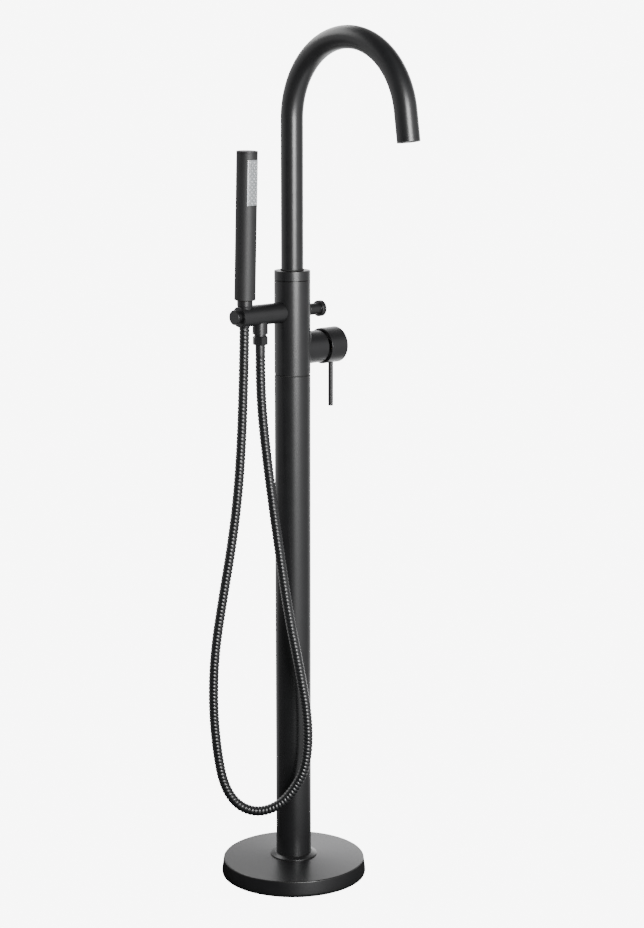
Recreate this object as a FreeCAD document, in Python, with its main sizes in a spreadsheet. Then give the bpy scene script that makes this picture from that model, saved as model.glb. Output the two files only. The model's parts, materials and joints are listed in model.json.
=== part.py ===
"""Floor standing bath filler: a round column with a swivelling swan neck spout, a single lever mixer,
a pull diverter and a hand shower that rests in a cross arm and hangs on a ribbed metal hose.

Millimetres, +Z up. The origin is the centre of the foot on the floor. The spout points to -Y, the
cross arm to -X, the mixer handle and the diverter knob to +X. The pose is the one at rest: lever
down (closed), spout forward, diverter pushed in and the hand shower in its cradle.
"""
import FreeCAD, Part
import math
import os
import re

import Sketcher

# ---------------------------------------------------------------- driving dimensions
# A size is a number, or a formula of other sizes where it has to follow them.
SIZES = {
    # foot on the floor
    "base_radius": (104.0, "outer radius of the foot cover at the floor"),
    "cover_taper": (2.7, "how much narrower the foot cover is at its top face"),
    "base_top_radius": ("base_radius - cover_taper", "outer radius of the foot cover at its top face"),
    "base_height": (22.0, "height of the foot cover's rim"),
    "cover_crown": (4.7, "rise of the foot cover's top from its rim to the column"),
    "cover_top": ("base_height + cover_crown", "height of the foot cover at the column"),
    "cover_wall": (2.0, "wall of the foot cover"),
    "plate_margin": (22.0, "distance of the floor plate's rim inside the foot cover's"),
    "plate_radius": ("base_radius - plate_margin", "outer radius of the floor plate"),
    "plate_thick": (8.0, "thickness of the floor plate"),
    "hub_wall": (1.5, "wall of the plate's hub inside the column"),
    "plate_bore": ("column_radius - column_wall - fit_gap - hub_wall", "radius of the plate's hole"),
    "bolt_margin": (20.0, "distance of the floor bolts inside the plate's rim"),
    "bolt_circle": ("plate_radius - bolt_margin", "radius of the circle of floor bolts"),
    "bolt_hole": (4.5, "radius of each floor bolt hole"),
    "hub_top": (62.0, "height of the plate's hub inside the column"),
    "ring_width": (8.3, "width of the ring round the column's foot"),
    "ring_radius": ("column_radius + ring_width", "outer radius of the ring round the column's foot"),
    "ring_height": (4.0, "height of that ring"),
    "ring_seat": ("cover_top - cover_crown * (ring_width - fit_gap) / (base_top_radius - column_radius"
                  " - fit_gap)", "height of the foot cover under the ring's rim"),
    "clamp_screw": (2.5, "radius of the set screws that hold the column on the hub"),
    "clamp_rise": (6.0, "height of the set screws above the floor plate"),
    "clamp_height": ("plate_thick + clamp_rise", "height of the set screws above the floor"),
    # column
    "column_radius": (25.0, "outer radius of the column, the mixer body and the collar"),
    "column_wall": (2.0, "wall of the column tube"),
    "column_top": (728.0, "top of the column tube"),
    "shadow_gap": (0.8, "height of the fine grooves between column, body and collar"),
    "shadow_depth": (0.8, "depth of those grooves"),
    "spigot_depth": (32.0, "length of the brass spigot inside the column tube"),
    "fit_gap": (0.1, "radial clearance of the static fits"),
    "run_gap": (0.3, "clearance of moving faces that are no fit"),
    "shaft_gap": (0.05, "radial clearance of the running fits"),
    # supplies inside the column
    "supply_offset": (10.5, "distance of each supply hose from the column's axis"),
    "supply_radius": (6.0, "outer radius of a supply hose"),
    "supply_bore": (3.5, "radius of the waterways"),
    "ferrule_radius": (7.0, "outer radius of a supply hose's crimped end"),
    "inlet_flats": (19.0, "distance across the flats of the inlet nuts"),
    "inlet_thread": (7.5, "radius of the inlet nuts' threaded bore"),
    "inlet_floor": (3.0, "height of the inlet nuts above the floor"),
    "inlet_length": (15.0, "length of an inlet nut"),
    # mixer body
    "body_height": (130.0, "height of the mixer body above the column tube"),
    "body_top": ("column_top + body_height", "top of the mixer body"),
    "mixer_rise": (34.0, "height of the mixer's axis above the column tube"),
    "mixer_axis": ("column_top + mixer_rise", "height of the mixer's axis"),
    "housing_radius": ("pocket_radius + housing_wall", "outer radius of the mixer's side housing"),
    "housing_reach": ("column_radius + housing_stand", "distance of its end from the column's axis"),
    "housing_blend": (4.0, "radius of the blend between housing and body"),
    "housing_wall": (3.9, "wall of the side housing round the cartridge pocket"),
    "housing_stand": (21.0, "distance that the housing stands out from the column's side"),
    "pocket_gap": (0.8, "radial clearance of the cartridge in its pocket"),
    "pocket_depth": (39.0, "depth of the cartridge pocket"),
    "pocket_radius": ("cartridge_radius + pocket_gap", "radius of the cartridge pocket"),
    "pocket_floor": ("housing_reach - pocket_depth", "distance of the pocket's floor from the column's axis"),
    "port_drop": (5.0, "distance of the two inlet ports below the mixer's axis"),
    "outlet_rise": (5.0, "distance of the mixed water port above the mixer's axis"),
    # cartridge
    "cartridge_radius": (17.8, "outer radius of the cartridge"),
    "seal_height": (1.2, "height of the cartridge's seats for its port seals"),
    "base_thick": (4.0, "thickness of the cartridge's base"),
    "disc_thick": (3.2, "thickness of each ceramic disc"),
    "fixed_disc": (14.6, "radius of the fixed ceramic disc"),
    "moving_disc": (11.2, "radius of the moving ceramic disc"),
    "chamber_radius": (5.6, "radius of the mixing chamber in the moving disc"),
    "disc_port": (2.4, "radius of the hot and the cold port in the discs"),
    "disc_port_offset": (6.5, "distance of those ports from the cartridge's middle, to each side"),
    "driver_thick": (4.5, "thickness of the driver behind the moving disc"),
    "shell_wall": (2.4, "wall of the cartridge shell"),
    "cartridge_length": (33.0, "length of the cartridge from the pocket's floor"),
    "shell_end": ("pocket_floor + cartridge_length", "distance of its end from the column's axis"),
    "pivot_reach": (23.0, "distance of the lever's cross pin from the pocket's floor"),
    "lever_pivot": ("pocket_floor + pivot_reach", "distance of the lever's cross pin from the column's axis"),
    "pivot_radius": (1.5, "radius of the lever's cross pin"),
    "spindle_side": (8.0, "side of the square lever spindle"),
    "nut_bore": (12.4, "radius of the opening that the spindle swings in"),
    # handle
    "trim_radius": ("housing_radius - 0.3", "outer radius of the trim ring behind the handle"),
    "trim_width": (3.6, "width of the trim ring's visible band"),
    "trim_end": ("housing_reach + trim_width", "end of the trim ring's visible band"),
    "dome_radius": ("trim_radius - 2", "radius of the trim ring's dark neck"),
    "dome_width": (2.6, "width of that neck"),
    "dome_end": ("trim_end + dome_width", "end of that neck"),
    "handle_wall": (3.0, "wall of the handle round its hollow"),
    "handle_gap": (1.0, "gap between the trim ring and the handle"),
    "handle_length": (30.3, "length of the handle"),
    "handle_radius": ("handle_hollow + handle_wall", "outer radius of the handle"),
    "handle_start": ("dome_end + handle_gap", "near face of the handle"),
    "handle_end": ("handle_start + handle_length", "far face of the handle"),
    "handle_edge": (1.6, "rounding of the handle's edges"),
    "handle_hollow": ("dome_radius + 1.8", "radius of the hollow behind the handle"),
    "hollow_depth": (13.8, "depth of that hollow"),
    "hollow_end": ("handle_start + hollow_depth", "bottom of that hollow"),
    "handle_boss": (7.5, "radius of the boss round the spindle"),
    "boss_recess": (5.3, "distance of the boss's end inside the handle's near face"),
    "boss_start": ("handle_start + boss_recess", "near end of that boss"),
    "pin_inset": (11.0, "distance of the pin lever from the handle's far face"),
    "pin_place": ("handle_end - pin_inset", "distance of the pin lever from the column's axis"),
    "pin_radius": (3.6, "radius of the pin lever"),
    "pin_length": (62.0, "length of the pin lever below the handle"),
    "pin_thread": (2.5, "radius of the pin lever's threaded end"),
    # cross arm
    "arm_drop": (43.0, "distance of the cross arm's axis below the body's top"),
    "arm_axis": ("body_top - arm_drop", "height of the cross arm's axis"),
    "arm_radius": (14.2, "outer radius of the cross arm"),
    "arm_length": (73.0, "length of the cross arm from the column's side"),
    "arm_end": ("column_radius + arm_length", "distance of the arm's end from the column's axis"),
    "arm_edge": (1.0, "chamfer of the arm's end"),
    "arm_thread": (8.0, "radius of the arm's spigot in the body"),
    "seat_gap": (0.4, "fine gap round the arm where it sits in the body"),
    "arm_water": (3.5, "radius of the waterway along the arm"),
    "cap_neck": (7.6, "radius of the end knob's neck"),
    "cap_radius": (10.2, "radius of the end knob"),
    "cap_reach": (8.4, "length of the end knob beyond the arm"),
    "cap_end": ("arm_end + cap_reach", "distance of the end knob's face from the column's axis"),
    "cap_thick": (2.6, "thickness of the end knob"),
    "cradle_inset": (11.0, "distance of the cradle's axis from the arm's end"),
    "cradle_at": ("arm_end - cradle_inset", "distance of the cradle's axis from the column's axis"),
    "cradle_lean": (1.9, "lean of the cradle towards the spout's side, in degrees"),
    "cradle_top": (10.6, "radius of the tapered cradle hole at the arm's top"),
    "cradle_taper": (2.6, "how much narrower the cradle hole is at its foot"),
    "cradle_foot": ("cradle_top - cradle_taper", "radius of the tapered cradle hole at the arm's underside"),
    "slot_gap": (0.8, "clearance of the hose in the slot that it passes through"),
    "slot_width": ("2 * hose_radius + slot_gap", "width of the slot that the hose passes through"),
    # hose outlet below the arm
    "outlet_spacing": (27.8, "distance between the cradle and the hose outlet"),
    "outlet_at": ("cradle_at - outlet_spacing", "distance of the hose outlet from the column's axis"),
    "outlet_radius": ("nipple_radius + stub_wall", "outer radius of the outlet stub"),
    "outlet_drop": (26.0, "distance of the outlet stub's underside below the arm's axis"),
    "nut_gap": (3.0, "length of bare nipple between the stub and its nut"),
    "outlet_foot": ("arm_axis - outlet_drop", "underside of the outlet stub"),
    "nut_top": ("outlet_foot - nut_gap", "top of the outlet's hose nut"),
    "nut_length": (11.8, "length of the outlet's hose nut"),
    "nut_flats": ("2 * nipple_radius + 2.2", "distance across the flats of that nut"),
    "stub_wall": (2.2, "wall of the outlet stub round its nipple's root"),
    "nipple_radius": (8.4, "outer radius of the outlet's threaded nipple"),
    "sleeve_radius": (6.8, "outer radius of the hose's crimped sleeves"),
    "sleeve_length": (16.0, "visible length of the sleeve below the outlet nut"),
    # shower hose
    "hose_radius": (7.0, "outer radius of the hose's ribs"),
    "hose_root": (6.1, "radius between the ribs"),
    "hose_bore": (4.0, "bore of the hose"),
    "rib_count": (120.0, "ribs along the hose"),
    # hand shower, measured along its own axis from the arm's axis
    "cone_foot": (-14.0, "lower end of the hose's cone nut"),
    "cone_radius": ("cradle_top + 0.05", "radius of the cone nut at its top"),
    "grip_gap": (8.3, "height of the hand shower's body above the arm"),
    "shower_foot": ("arm_radius + grip_gap", "lower end of the hand shower's body"),
    "shower_length": (200.1, "length of the hand shower's body with its top"),
    "shower_top": ("shower_foot + shower_length", "top of the hand shower"),
    "shower_radius": (14.5, "outer radius of the hand shower"),
    "shower_wall": (2.0, "wall of the hand shower's body"),
    "lid_height": (3.0, "height of the hand shower's top cap"),
    "face_margin": (11.0, "distance of the spray face below the hand shower's top"),
    "face_foot": ("shower_top - face_height - face_margin", "lower end of the spray face"),
    "face_height": (61.0, "height of the spray face"),
    "face_width": (17.5, "width of the spray face"),
    "face_wall": (2.6, "wall of the spray face"),
    "water_radius": ("shower_radius - 8", "outer radius of the hand shower's inner waterway"),
    "jet_radius": (0.9, "radius of each spray nozzle"),
    "jet_margin": (3.5, "distance of the first and the last nozzle from the spray face's ends"),
    "jet_inset": (1.5, "distance of the outer nozzles inside the spray face's sides"),
    "jet_pitch": ("(face_height - 2 * jet_margin) / 7.5", "spacing of the nozzles along the spray face"),
    "jet_height": (1.5, "height of a nozzle above the spray face"),
    # diverter
    "valve_bore": (10.5, "radius of the diverter's chamber"),
    "valve_floor": (-12.0, "far end of the diverter's chamber"),
    "gland_depth": (12.0, "depth of the diverter's gland in the body"),
    "gland_start": ("column_radius - gland_depth", "inner end of the diverter's gland"),
    "gland_bore": ("stem_radius + shaft_gap", "radius of the gland's bore"),
    "gland_neck": ("knob_bore - 0.4", "radius of the gland's neck outside the body"),
    "gland_reach": (15.0, "length of the gland's neck outside the body"),
    "gland_end": ("column_radius + gland_reach", "outer end of the gland's neck"),
    "stem_radius": (4.0, "radius of the diverter's stem"),
    "knob_gap": (3.4, "gap between the body and the knob's sleeve"),
    "knob_start": ("column_radius + knob_gap", "inner end of the knob's sleeve"),
    "knob_sleeve": ("knob_bore + 1.3", "outer radius of the knob's sleeve"),
    "knob_bore": (6.8, "radius of the bore in that sleeve"),
    "knob_reach": (18.8, "length of the knob's sleeve"),
    "knob_flange": ("knob_start + knob_reach", "near face of the knob's head"),
    "knob_thick": (8.0, "thickness of the knob's head"),
    "knob_end": ("knob_flange + knob_thick", "far face of the knob's head"),
    "knob_radius": (11.2, "radius of the knob's head"),
    "escutcheon_radius": ("knob_sleeve + 1.5", "radius of the ring where the diverter leaves the body"),
    # spout
    "collar_height": (13.2, "height of the collar above its groove"),
    "neck_inset": (4.0, "thickness of the collar round the body's neck"),
    "neck_radius": ("column_radius - neck_inset", "outer radius of the body's threaded neck"),
    "neck_height": (7.0, "height of that neck above the body's top"),
    "neck_wall": (3.8, "wall of the body's neck round the spout's socket"),
    "socket_radius": ("neck_radius - neck_wall", "radius of the socket that the spout turns in"),
    "socket_depth": (22.0, "depth of that socket below the body's top"),
    "socket_floor": ("body_top - socket_depth", "floor of that socket"),
    "spout_radius": (15.4, "outer radius of the spout tube"),
    "spout_wall": (1.6, "wall of the spout tube"),
    "spout_height": (219.0, "height of the spout's upright above the body"),
    "spout_rise": ("body_top + spout_height", "height where the spout starts to bend"),
    "spout_bend": (109.6, "radius of the spout's bend"),
    "spout_turn": (171.5, "angle of the spout's bend, in degrees"),
    "spout_straight": (35.0, "length of the straight end after the bend"),
    "spout_flange": ("neck_radius - 1", "radius of the spout's flange under the collar"),
    "aerator_height": (5.4, "height of the aerator ring at the outlet"),
    "aerator_gap": (0.4, "fine groove above the aerator ring"),
    "mesh_radius": ("spout_radius - spout_wall - 1.9", "radius of the aerator's insert"),
}

# The shower hose's route from the outlet's sleeve, round its low bend, up to the cone nut.
HOSE_ROUTE = [
    (-59.2, 0.0, 758.2),
    (-59.2, 0.0, 708.0),
    (-57.8, -6.5, 642.0),
    (-53.0, -15.5, 562.0),
    (-46.6, -25.5, 477.0),
    (-39.4, -34.8, 396.0),
    (-28.6, -45.0, 318.0),
    (-19.2, -53.2, 242.0),
    (-21.0, -51.6, 178.0),
    (-34.4, -39.8, 141.0),
    (-51.2, -25.4, 117.0),
    (-74.0, -6.0, 107.4),
    (-95.6, 12.4, 118.4),
    (-110.2, 24.6, 148.0),
    (-117.2, 30.6, 198.0),
    (-121.2, 33.8, 266.0),
    (-119.4, 31.8, 340.0),
    (-110.6, 23.8, 418.0),
    (-101.0, 14.8, 494.0),
    (-94.2, 8.4, 566.0),
    (-90.2, 5.0, 638.0),
    (-88.2, 3.4, 700.0),
    (-87.0, 1.99, 755.0),
    (-87.0, 0.46, 801.0),
]

doc = FreeCAD.newDocument("bath_filler")

# ---------------------------------------------------------------- the sheet and its expressions
sheet = doc.addObject("Spreadsheet::Sheet", "Sizes")
for row, (alias, (amount, meaning)) in enumerate(SIZES.items(), start=1):
    sheet.set(f"A{row}", alias)
    sheet.set(f"C{row}", meaning)
    sheet.setAlias(f"B{row}", alias)
for row, (amount, meaning) in enumerate(SIZES.values(), start=1):
    sheet.set(f"B{row}", f"={amount}")
doc.recompute()


def sized(text):
    """The same formula with every name looked up in the sheet."""
    return re.sub(r"[a-z_]{3,}", lambda word: "Sizes." + word[0] if word[0] in SIZES else word[0], text)


def number(text):
    """The present value of a formula."""
    return float(sheet.evalExpression(sized(text)))


# ---------------------------------------------------------------- building blocks
ALONG_X = (FreeCAD.Vector(0, 1, 0), "90")
ALONG_MINUS_X = (FreeCAD.Vector(0, 1, 0), "-90")
ALONG_MINUS_Y = (FreeCAD.Vector(1, 0, 0), "90")
UPRIGHT = (FreeCAD.Vector(0, 0, 1), "0")
MIXER = {"at": ("0", "0", "mixer_axis"), "turn": ALONG_X}
DIVERTER = {"at": ("0", "0", "arm_axis"), "turn": ALONG_X}
ARM = {"at": ("0", "0", "arm_axis"), "turn": ALONG_MINUS_X}
SHOWER = {"at": ("-cradle_at", "0", "arm_axis"), "turn": (FreeCAD.Vector(1, 0, 0), "cradle_lean")}
OUTLET = {"at": ("-outlet_at", "0", "0")}
SPOUT_MOUTH = {
    "at": (
        "0",
        "-(spout_bend * (1 - cos(spout_turn * 1deg)) + spout_straight * sin(spout_turn * 1deg))",
        "spout_rise + spout_bend * sin(spout_turn * 1deg) + spout_straight * cos(spout_turn * 1deg)",
    ),
    "turn": (FreeCAD.Vector(1, 0, 0), "spout_turn"),
}
pieces = {}


def place(thing, at=("0", "0", "0"), turn=UPRIGHT):
    """Binds a thing's position and its turn about one axis to formulas."""
    axis, angle = turn
    thing.Placement = FreeCAD.Placement(FreeCAD.Vector(), FreeCAD.Rotation(axis, number(angle)))
    for letter, text in zip("xyz", at):
        thing.setExpression("Placement.Base." + letter, sized(text))
    if angle != "0":
        thing.setExpression("Placement.Rotation.Angle", sized(angle))
    return thing


def keep(name, thing):
    """Marks a thing as a finished sub-part."""
    thing.Label = name
    pieces[name] = thing
    return thing


def plane_of(body, role):
    return [part for part in body.Origin.OriginFeatures if part.Role == role][0]


def pin_point(sketch, edge, across, up):
    """Fixes the start point of a sketch edge to two formulas."""
    for kind, text, axis in (("DistanceX", across, -2), ("DistanceY", up, -1)):
        if text == "0":
            sketch.addConstraint(Sketcher.Constraint("PointOnObject", edge, 1, axis))
        else:
            rule = sketch.addConstraint(Sketcher.Constraint(kind, -1, 1, edge, 1, number(text)))
            sketch.setExpression(f"Constraints[{rule}]", sized(text))


def outline(body, role, corners):
    """A closed sketch of straight lines through corners given as pairs of formulas."""
    sketch = body.newObject("Sketcher::SketchObject", body.Name + "_outline")
    sketch.AttachmentSupport = [(plane_of(body, role), "")]
    sketch.MapMode = "FlatFace"
    spots = [FreeCAD.Vector(number(across), number(up), 0) for across, up in corners]
    for here, there in zip(spots, spots[1:] + spots[:1]):
        sketch.addGeometry(Part.LineSegment(here, there))
    for edge in range(len(spots)):
        sketch.addConstraint(Sketcher.Constraint("Coincident", edge, 2, (edge + 1) % len(spots), 1))
    for edge, (across, up) in enumerate(corners):
        pin_point(sketch, edge, across, up)
    return sketch


def turned(name, corners, at=("0", "0", "0"), turn=UPRIGHT):
    """A lathe-turned piece from its half section of (radius, height) corners."""
    body = doc.addObject("PartDesign::Body", name)
    sketch = outline(body, "XZ_Plane", corners)
    lathe = body.newObject("PartDesign::Revolution", name + "_lathe")
    lathe.Profile = sketch
    lathe.ReferenceAxis = (sketch, ["V_Axis"])
    lathe.Angle = 360
    place(body, at, turn)
    return body


def round_rims(body, radius, *rims):
    """Rounds the circular rims given as pairs of (radius, height) formulas in the body's own frame."""
    doc.recompute()
    wanted = [(number(rim), number(height)) for rim, height in rims]
    base = body.Tip
    names = []
    for index, edge in enumerate(base.Shape.Edges, start=1):
        if not isinstance(edge.Curve, Part.Circle):
            continue
        size, height = edge.Curve.Radius, edge.Curve.Center.z
        if any(abs(size - r) < 1e-4 and abs(height - z) < 1e-4 for r, z in wanted):
            names.append(f"Edge{index}")
    fillet = body.newObject("PartDesign::Fillet", body.Name + "_rounding")
    fillet.Base = (base, names)
    fillet.setExpression("Radius", sized(radius))
    return body


def drill_round(body, radius, reach, count):
    """Cuts a ring of through holes, parallel to the body's own axis."""
    sketch = body.newObject("Sketcher::SketchObject", body.Name + "_hole")
    sketch.AttachmentSupport = [(plane_of(body, "XY_Plane"), "")]
    sketch.MapMode = "FlatFace"
    sketch.addGeometry(Part.Circle(FreeCAD.Vector(number(reach), 0, 0), UPRIGHT[0], number(radius)))
    sketch.addConstraint(Sketcher.Constraint("PointOnObject", 0, 3, -1))
    rule = sketch.addConstraint(Sketcher.Constraint("DistanceX", -1, 1, 0, 3, number(reach)))
    sketch.setExpression(f"Constraints[{rule}]", sized(reach))
    rule = sketch.addConstraint(Sketcher.Constraint("Radius", 0, number(radius)))
    sketch.setExpression(f"Constraints[{rule}]", sized(radius))
    pocket = body.newObject("PartDesign::Pocket", body.Name + "_pocket")
    pocket.Profile = sketch
    pocket.Type = "ThroughAll"
    pocket.Midplane = True
    ring = body.newObject("PartDesign::PolarPattern", body.Name + "_ring")
    ring.Originals = [pocket]
    ring.Axis = (sketch, ["N_Axis"])
    ring.Angle = 360
    ring.Occurrences = count
    body.Tip = ring
    return body


def rod(name, radius, length, at=("0", "0", "0"), turn=UPRIGHT):
    thing = doc.addObject("Part::Cylinder", name)
    thing.setExpression("Radius", sized(radius))
    thing.setExpression("Height", sized(length))
    return place(thing, at, turn)


def taper(name, foot, top, length, at=("0", "0", "0"), turn=UPRIGHT):
    thing = doc.addObject("Part::Cone", name)
    thing.setExpression("Radius1", sized(foot))
    thing.setExpression("Radius2", sized(top))
    thing.setExpression("Height", sized(length))
    return place(thing, at, turn)


def block(name, length, width, height, at=("0", "0", "0"), turn=UPRIGHT):
    thing = doc.addObject("Part::Box", name)
    for side, text in (("Length", length), ("Width", width), ("Height", height)):
        thing.setExpression(side, sized(text))
    return place(thing, at, turn)


def hexagon(name, flats, length, at=("0", "0", "0"), turn=UPRIGHT):
    thing = doc.addObject("Part::Prism", name)
    thing.Polygon = 6
    thing.setExpression("Circumradius", sized(f"({flats}) / 2 / cos(30deg)"))
    thing.setExpression("Height", sized(length))
    return place(thing, at, turn)


def fuse(name, *things):
    whole = doc.addObject("Part::MultiFuse", name)
    whole.Shapes = list(things)
    return whole


def cut(name, base, *tools):
    result = doc.addObject("Part::Cut", name)
    result.Base = base
    result.Tool = tools[0] if len(tools) == 1 else fuse(name + "_tools", *tools)
    return result


def common(name, first, second):
    result = doc.addObject("Part::Common", name)
    result.Base = first
    result.Tool = second
    return result


def group(name, *things):
    result = doc.addObject("Part::Compound", name)
    result.Links = list(things)
    return result


def tube(name, outer, inner, low, high, at=("0", "0", "0"), turn=UPRIGHT):
    """A plain ring or tube between two heights."""
    return turned(name, [(inner, low), (outer, low), (outer, high), (inner, high)], at, turn)


# ---------------------------------------------------------------- foot
def make_foot():
    plate = turned("floor_plate", [
        ("plate_bore", "0"),
        ("plate_radius", "0"),
        ("plate_radius", "plate_thick - 1"),
        ("plate_radius - 1", "plate_thick"),
        ("column_radius - column_wall - fit_gap", "plate_thick"),
        ("column_radius - column_wall - fit_gap", "hub_top - 1"),
        ("column_radius - column_wall - fit_gap - 0.5", "hub_top"),
        ("plate_bore", "hub_top"),
    ])
    drill_round(plate, "bolt_hole", "bolt_circle", 4)
    column = tube("column_blank", "column_radius", "column_radius - column_wall",
                  "plate_thick", "column_top")
    screws = []
    drills = []
    for turn_angle in (90, 210, 330):
        side = math.radians(turn_angle)
        reach = (f"(plate_bore - 0.6) * {math.cos(side):.6f}", f"(plate_bore - 0.6) * {math.sin(side):.6f}",
                 "clamp_height")
        away = FreeCAD.Rotation(FreeCAD.Vector(0, 0, 1), FreeCAD.Vector(math.cos(side), math.sin(side), 0))
        lying = (away.Axis, str(math.degrees(away.Angle)))
        screw = rod(f"clamp_screw_{turn_angle}", "clamp_screw", "column_radius - plate_bore + 0.6",
                    reach, lying)
        socket = hexagon(f"clamp_socket_{turn_angle}", "clamp_screw", "clamp_screw", (
            f"(column_radius - clamp_screw + 0.1) * {math.cos(side):.6f}",
            f"(column_radius - clamp_screw + 0.1) * {math.sin(side):.6f}",
            "clamp_height"), lying)
        screws.append(cut(f"clamp_screw_cut_{turn_angle}", screw, socket))
        drills.append(rod(f"clamp_drill_{turn_angle}", "clamp_screw + shaft_gap",
                          "column_radius", reach, lying))
    keep("column_screws", group("column_screws", *screws))
    keep("floor_plate", cut("floor_plate_drilled", plate, *drills))
    keep("column_tube", cut("column_drilled", column, *drills))
    cover = turned("base_cover", [
        ("column_radius + fit_gap", "cover_top - cover_wall"),
        ("base_top_radius - cover_wall", "base_height - cover_wall"),
        ("base_radius - cover_wall", "0"),
        ("base_radius - 0.8", "0"),
        ("base_radius", "2.5"),
        ("base_top_radius", "base_height"),
        ("column_radius + fit_gap", "cover_top"),
    ])
    keep("base_cover", round_rims(cover, "1.4", ("base_top_radius", "base_height")))
    keep("foot_ring", turned("foot_ring", [
        ("column_radius + fit_gap", "cover_top"),
        ("ring_radius", "ring_seat"),
        ("ring_radius", "ring_seat + ring_height / 3"),
        ("column_radius + 1.6", "ring_seat + ring_height"),
        ("column_radius + fit_gap", "ring_seat + ring_height"),
    ]))


# ---------------------------------------------------------------- supplies inside the column
SUPPLIES = (("hot", "supply_offset"), ("cold", "-supply_offset"))


def make_supplies():
    nuts = []
    washers = []
    nut_shoulder = "inlet_floor + inlet_length - 5"
    nut_top = "inlet_floor + inlet_length"
    for name, offset in SUPPLIES:
        at = ("0", offset, "0")
        keep(name + "_supply_hose", turned(name + "_supply_hose", [
            ("supply_bore", nut_shoulder + " - 2.5"),
            ("inlet_thread - run_gap", nut_shoulder + " - 2.5"),
            ("inlet_thread - run_gap", nut_shoulder + " - run_gap"),
            ("5.6", nut_shoulder + " - run_gap"),
            ("5.6", nut_top + " + 1"),
            ("ferrule_radius", nut_top + " + 1"),
            ("ferrule_radius", nut_top + " + 22"),
            ("supply_radius", nut_top + " + 24"),
            ("supply_radius", "column_top - 34"),
            ("ferrule_radius", "column_top - 32"),
            ("ferrule_radius", "column_top - 10"),
            ("5", "column_top - 10"),
            ("5", "mixer_axis - port_drop - 9"),
            ("supply_bore", "mixer_axis - port_drop - 9"),
        ], at))
        blank = hexagon(name + "_inlet_hexagon", "inlet_flats", "inlet_length",
                        ("0", offset, "inlet_floor"))
        nut = cut(name + "_inlet_nut", blank,
                  rod(name + "_inlet_thread", "inlet_thread", "inlet_length - 5",
                      ("0", offset, "inlet_floor")),
                  rod(name + "_inlet_relief", "inlet_thread + run_gap", "5",
                      ("0", offset, nut_shoulder + " - 5")),
                  rod(name + "_inlet_throat", "5.6 + run_gap", "inlet_length",
                      ("0", offset, "inlet_floor")))
        nuts.append(nut)
        washers.append(tube(name + "_inlet_washer", "inlet_thread - run_gap", "4",
                            nut_shoulder + " - 4", nut_shoulder + " - 2.5", at))
    keep("inlet_nuts", group("inlet_nuts", *nuts))
    keep("inlet_washers", group("inlet_washers", *washers))


# ---------------------------------------------------------------- mixer body
ARM_ROOT = "sqrt(column_radius ^ 2 - (arm_radius + seat_gap) ^ 2)"


def make_body():
    keep("column_spigot", turned("column_spigot", [
        ("column_radius - column_wall - 4", "column_top - spigot_depth"),
        ("column_radius - column_wall - fit_gap", "column_top - spigot_depth"),
        ("column_radius - column_wall - fit_gap", "column_top"),
        ("column_radius - shadow_depth", "column_top"),
        ("column_radius - shadow_depth", "column_top + shadow_gap"),
        ("column_radius - 2.6", "column_top + shadow_gap"),
        ("column_radius - 2.6", "column_top + 8"),
        ("column_radius - column_wall - 4", "column_top + 8"),
    ]))
    barrel = turned("body_barrel", [
        ("0", "column_top + shadow_gap"),
        ("column_radius", "column_top + shadow_gap"),
        ("column_radius", "body_top"),
        ("neck_radius", "body_top"),
        ("neck_radius", "body_top + neck_height"),
        ("0", "body_top + neck_height"),
    ])
    housing = rod("body_housing", "housing_radius", "housing_reach", **MIXER)
    casting = fuse("body_casting", barrel, housing)
    doc.recompute()
    seam = [
        (index, number("housing_blend"), number("housing_blend"))
        for index, edge in enumerate(casting.Shape.Edges, start=1)
        if not isinstance(edge.Curve, (Part.Circle, Part.Line)) and edge.BoundBox.XMin > 0
    ]
    blended = doc.addObject("Part::Fillet", "body_blended")
    blended.Base = casting
    blended.Edges = seam
    tools = [
        rod("body_socket", "column_radius - 2.5", "8.2 - shadow_gap", ("0", "0", "column_top + shadow_gap")),
        rod("cartridge_pocket", "pocket_radius", "housing_reach", ("pocket_floor", "0", "mixer_axis"),
            ALONG_X),
        rod("mixed_port", "supply_bore", "pocket_floor + 1", ("0", "0", "mixer_axis + outlet_rise"), ALONG_X),
        rod("mixed_riser", "supply_bore", "arm_axis - mixer_axis - outlet_rise",
            ("0", "0", "mixer_axis + outlet_rise")),
        rod("diverter_chamber", "valve_bore", "column_radius - valve_floor + 1",
            ("valve_floor", "0", "arm_axis"), ALONG_X),
        rod("arm_socket", "arm_thread + fit_gap", "column_radius + valve_floor + 1",
            ("valve_floor", "0", "arm_axis"), ALONG_MINUS_X),
        rod("spout_riser", "supply_bore * 2", "socket_floor - arm_axis", ("0", "0", "arm_axis")),
        rod("spout_socket", "socket_radius", "body_top + neck_height - socket_floor + 1",
            ("0", "0", "socket_floor")),
        rod("arm_seat", "arm_radius + seat_gap", "column_radius",
            (f"-{ARM_ROOT}", "0", "arm_axis"), ALONG_MINUS_X),
    ]
    for name, offset in SUPPLIES:
        tools.append(rod(name + "_port_thread", "5 + fit_gap", "mixer_axis - port_drop - 9 - column_top",
                         ("0", offset, "column_top")))
        tools.append(rod(name + "_port_riser", "supply_bore", "mixer_axis - port_drop - column_top",
                         ("0", offset, "column_top")))
        tools.append(rod(name + "_port", "supply_bore", "pocket_floor + 1",
                         ("0", offset, "mixer_axis - port_drop"), ALONG_X))
    keep("mixer_body", cut("mixer_body", blended, *tools))


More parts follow.
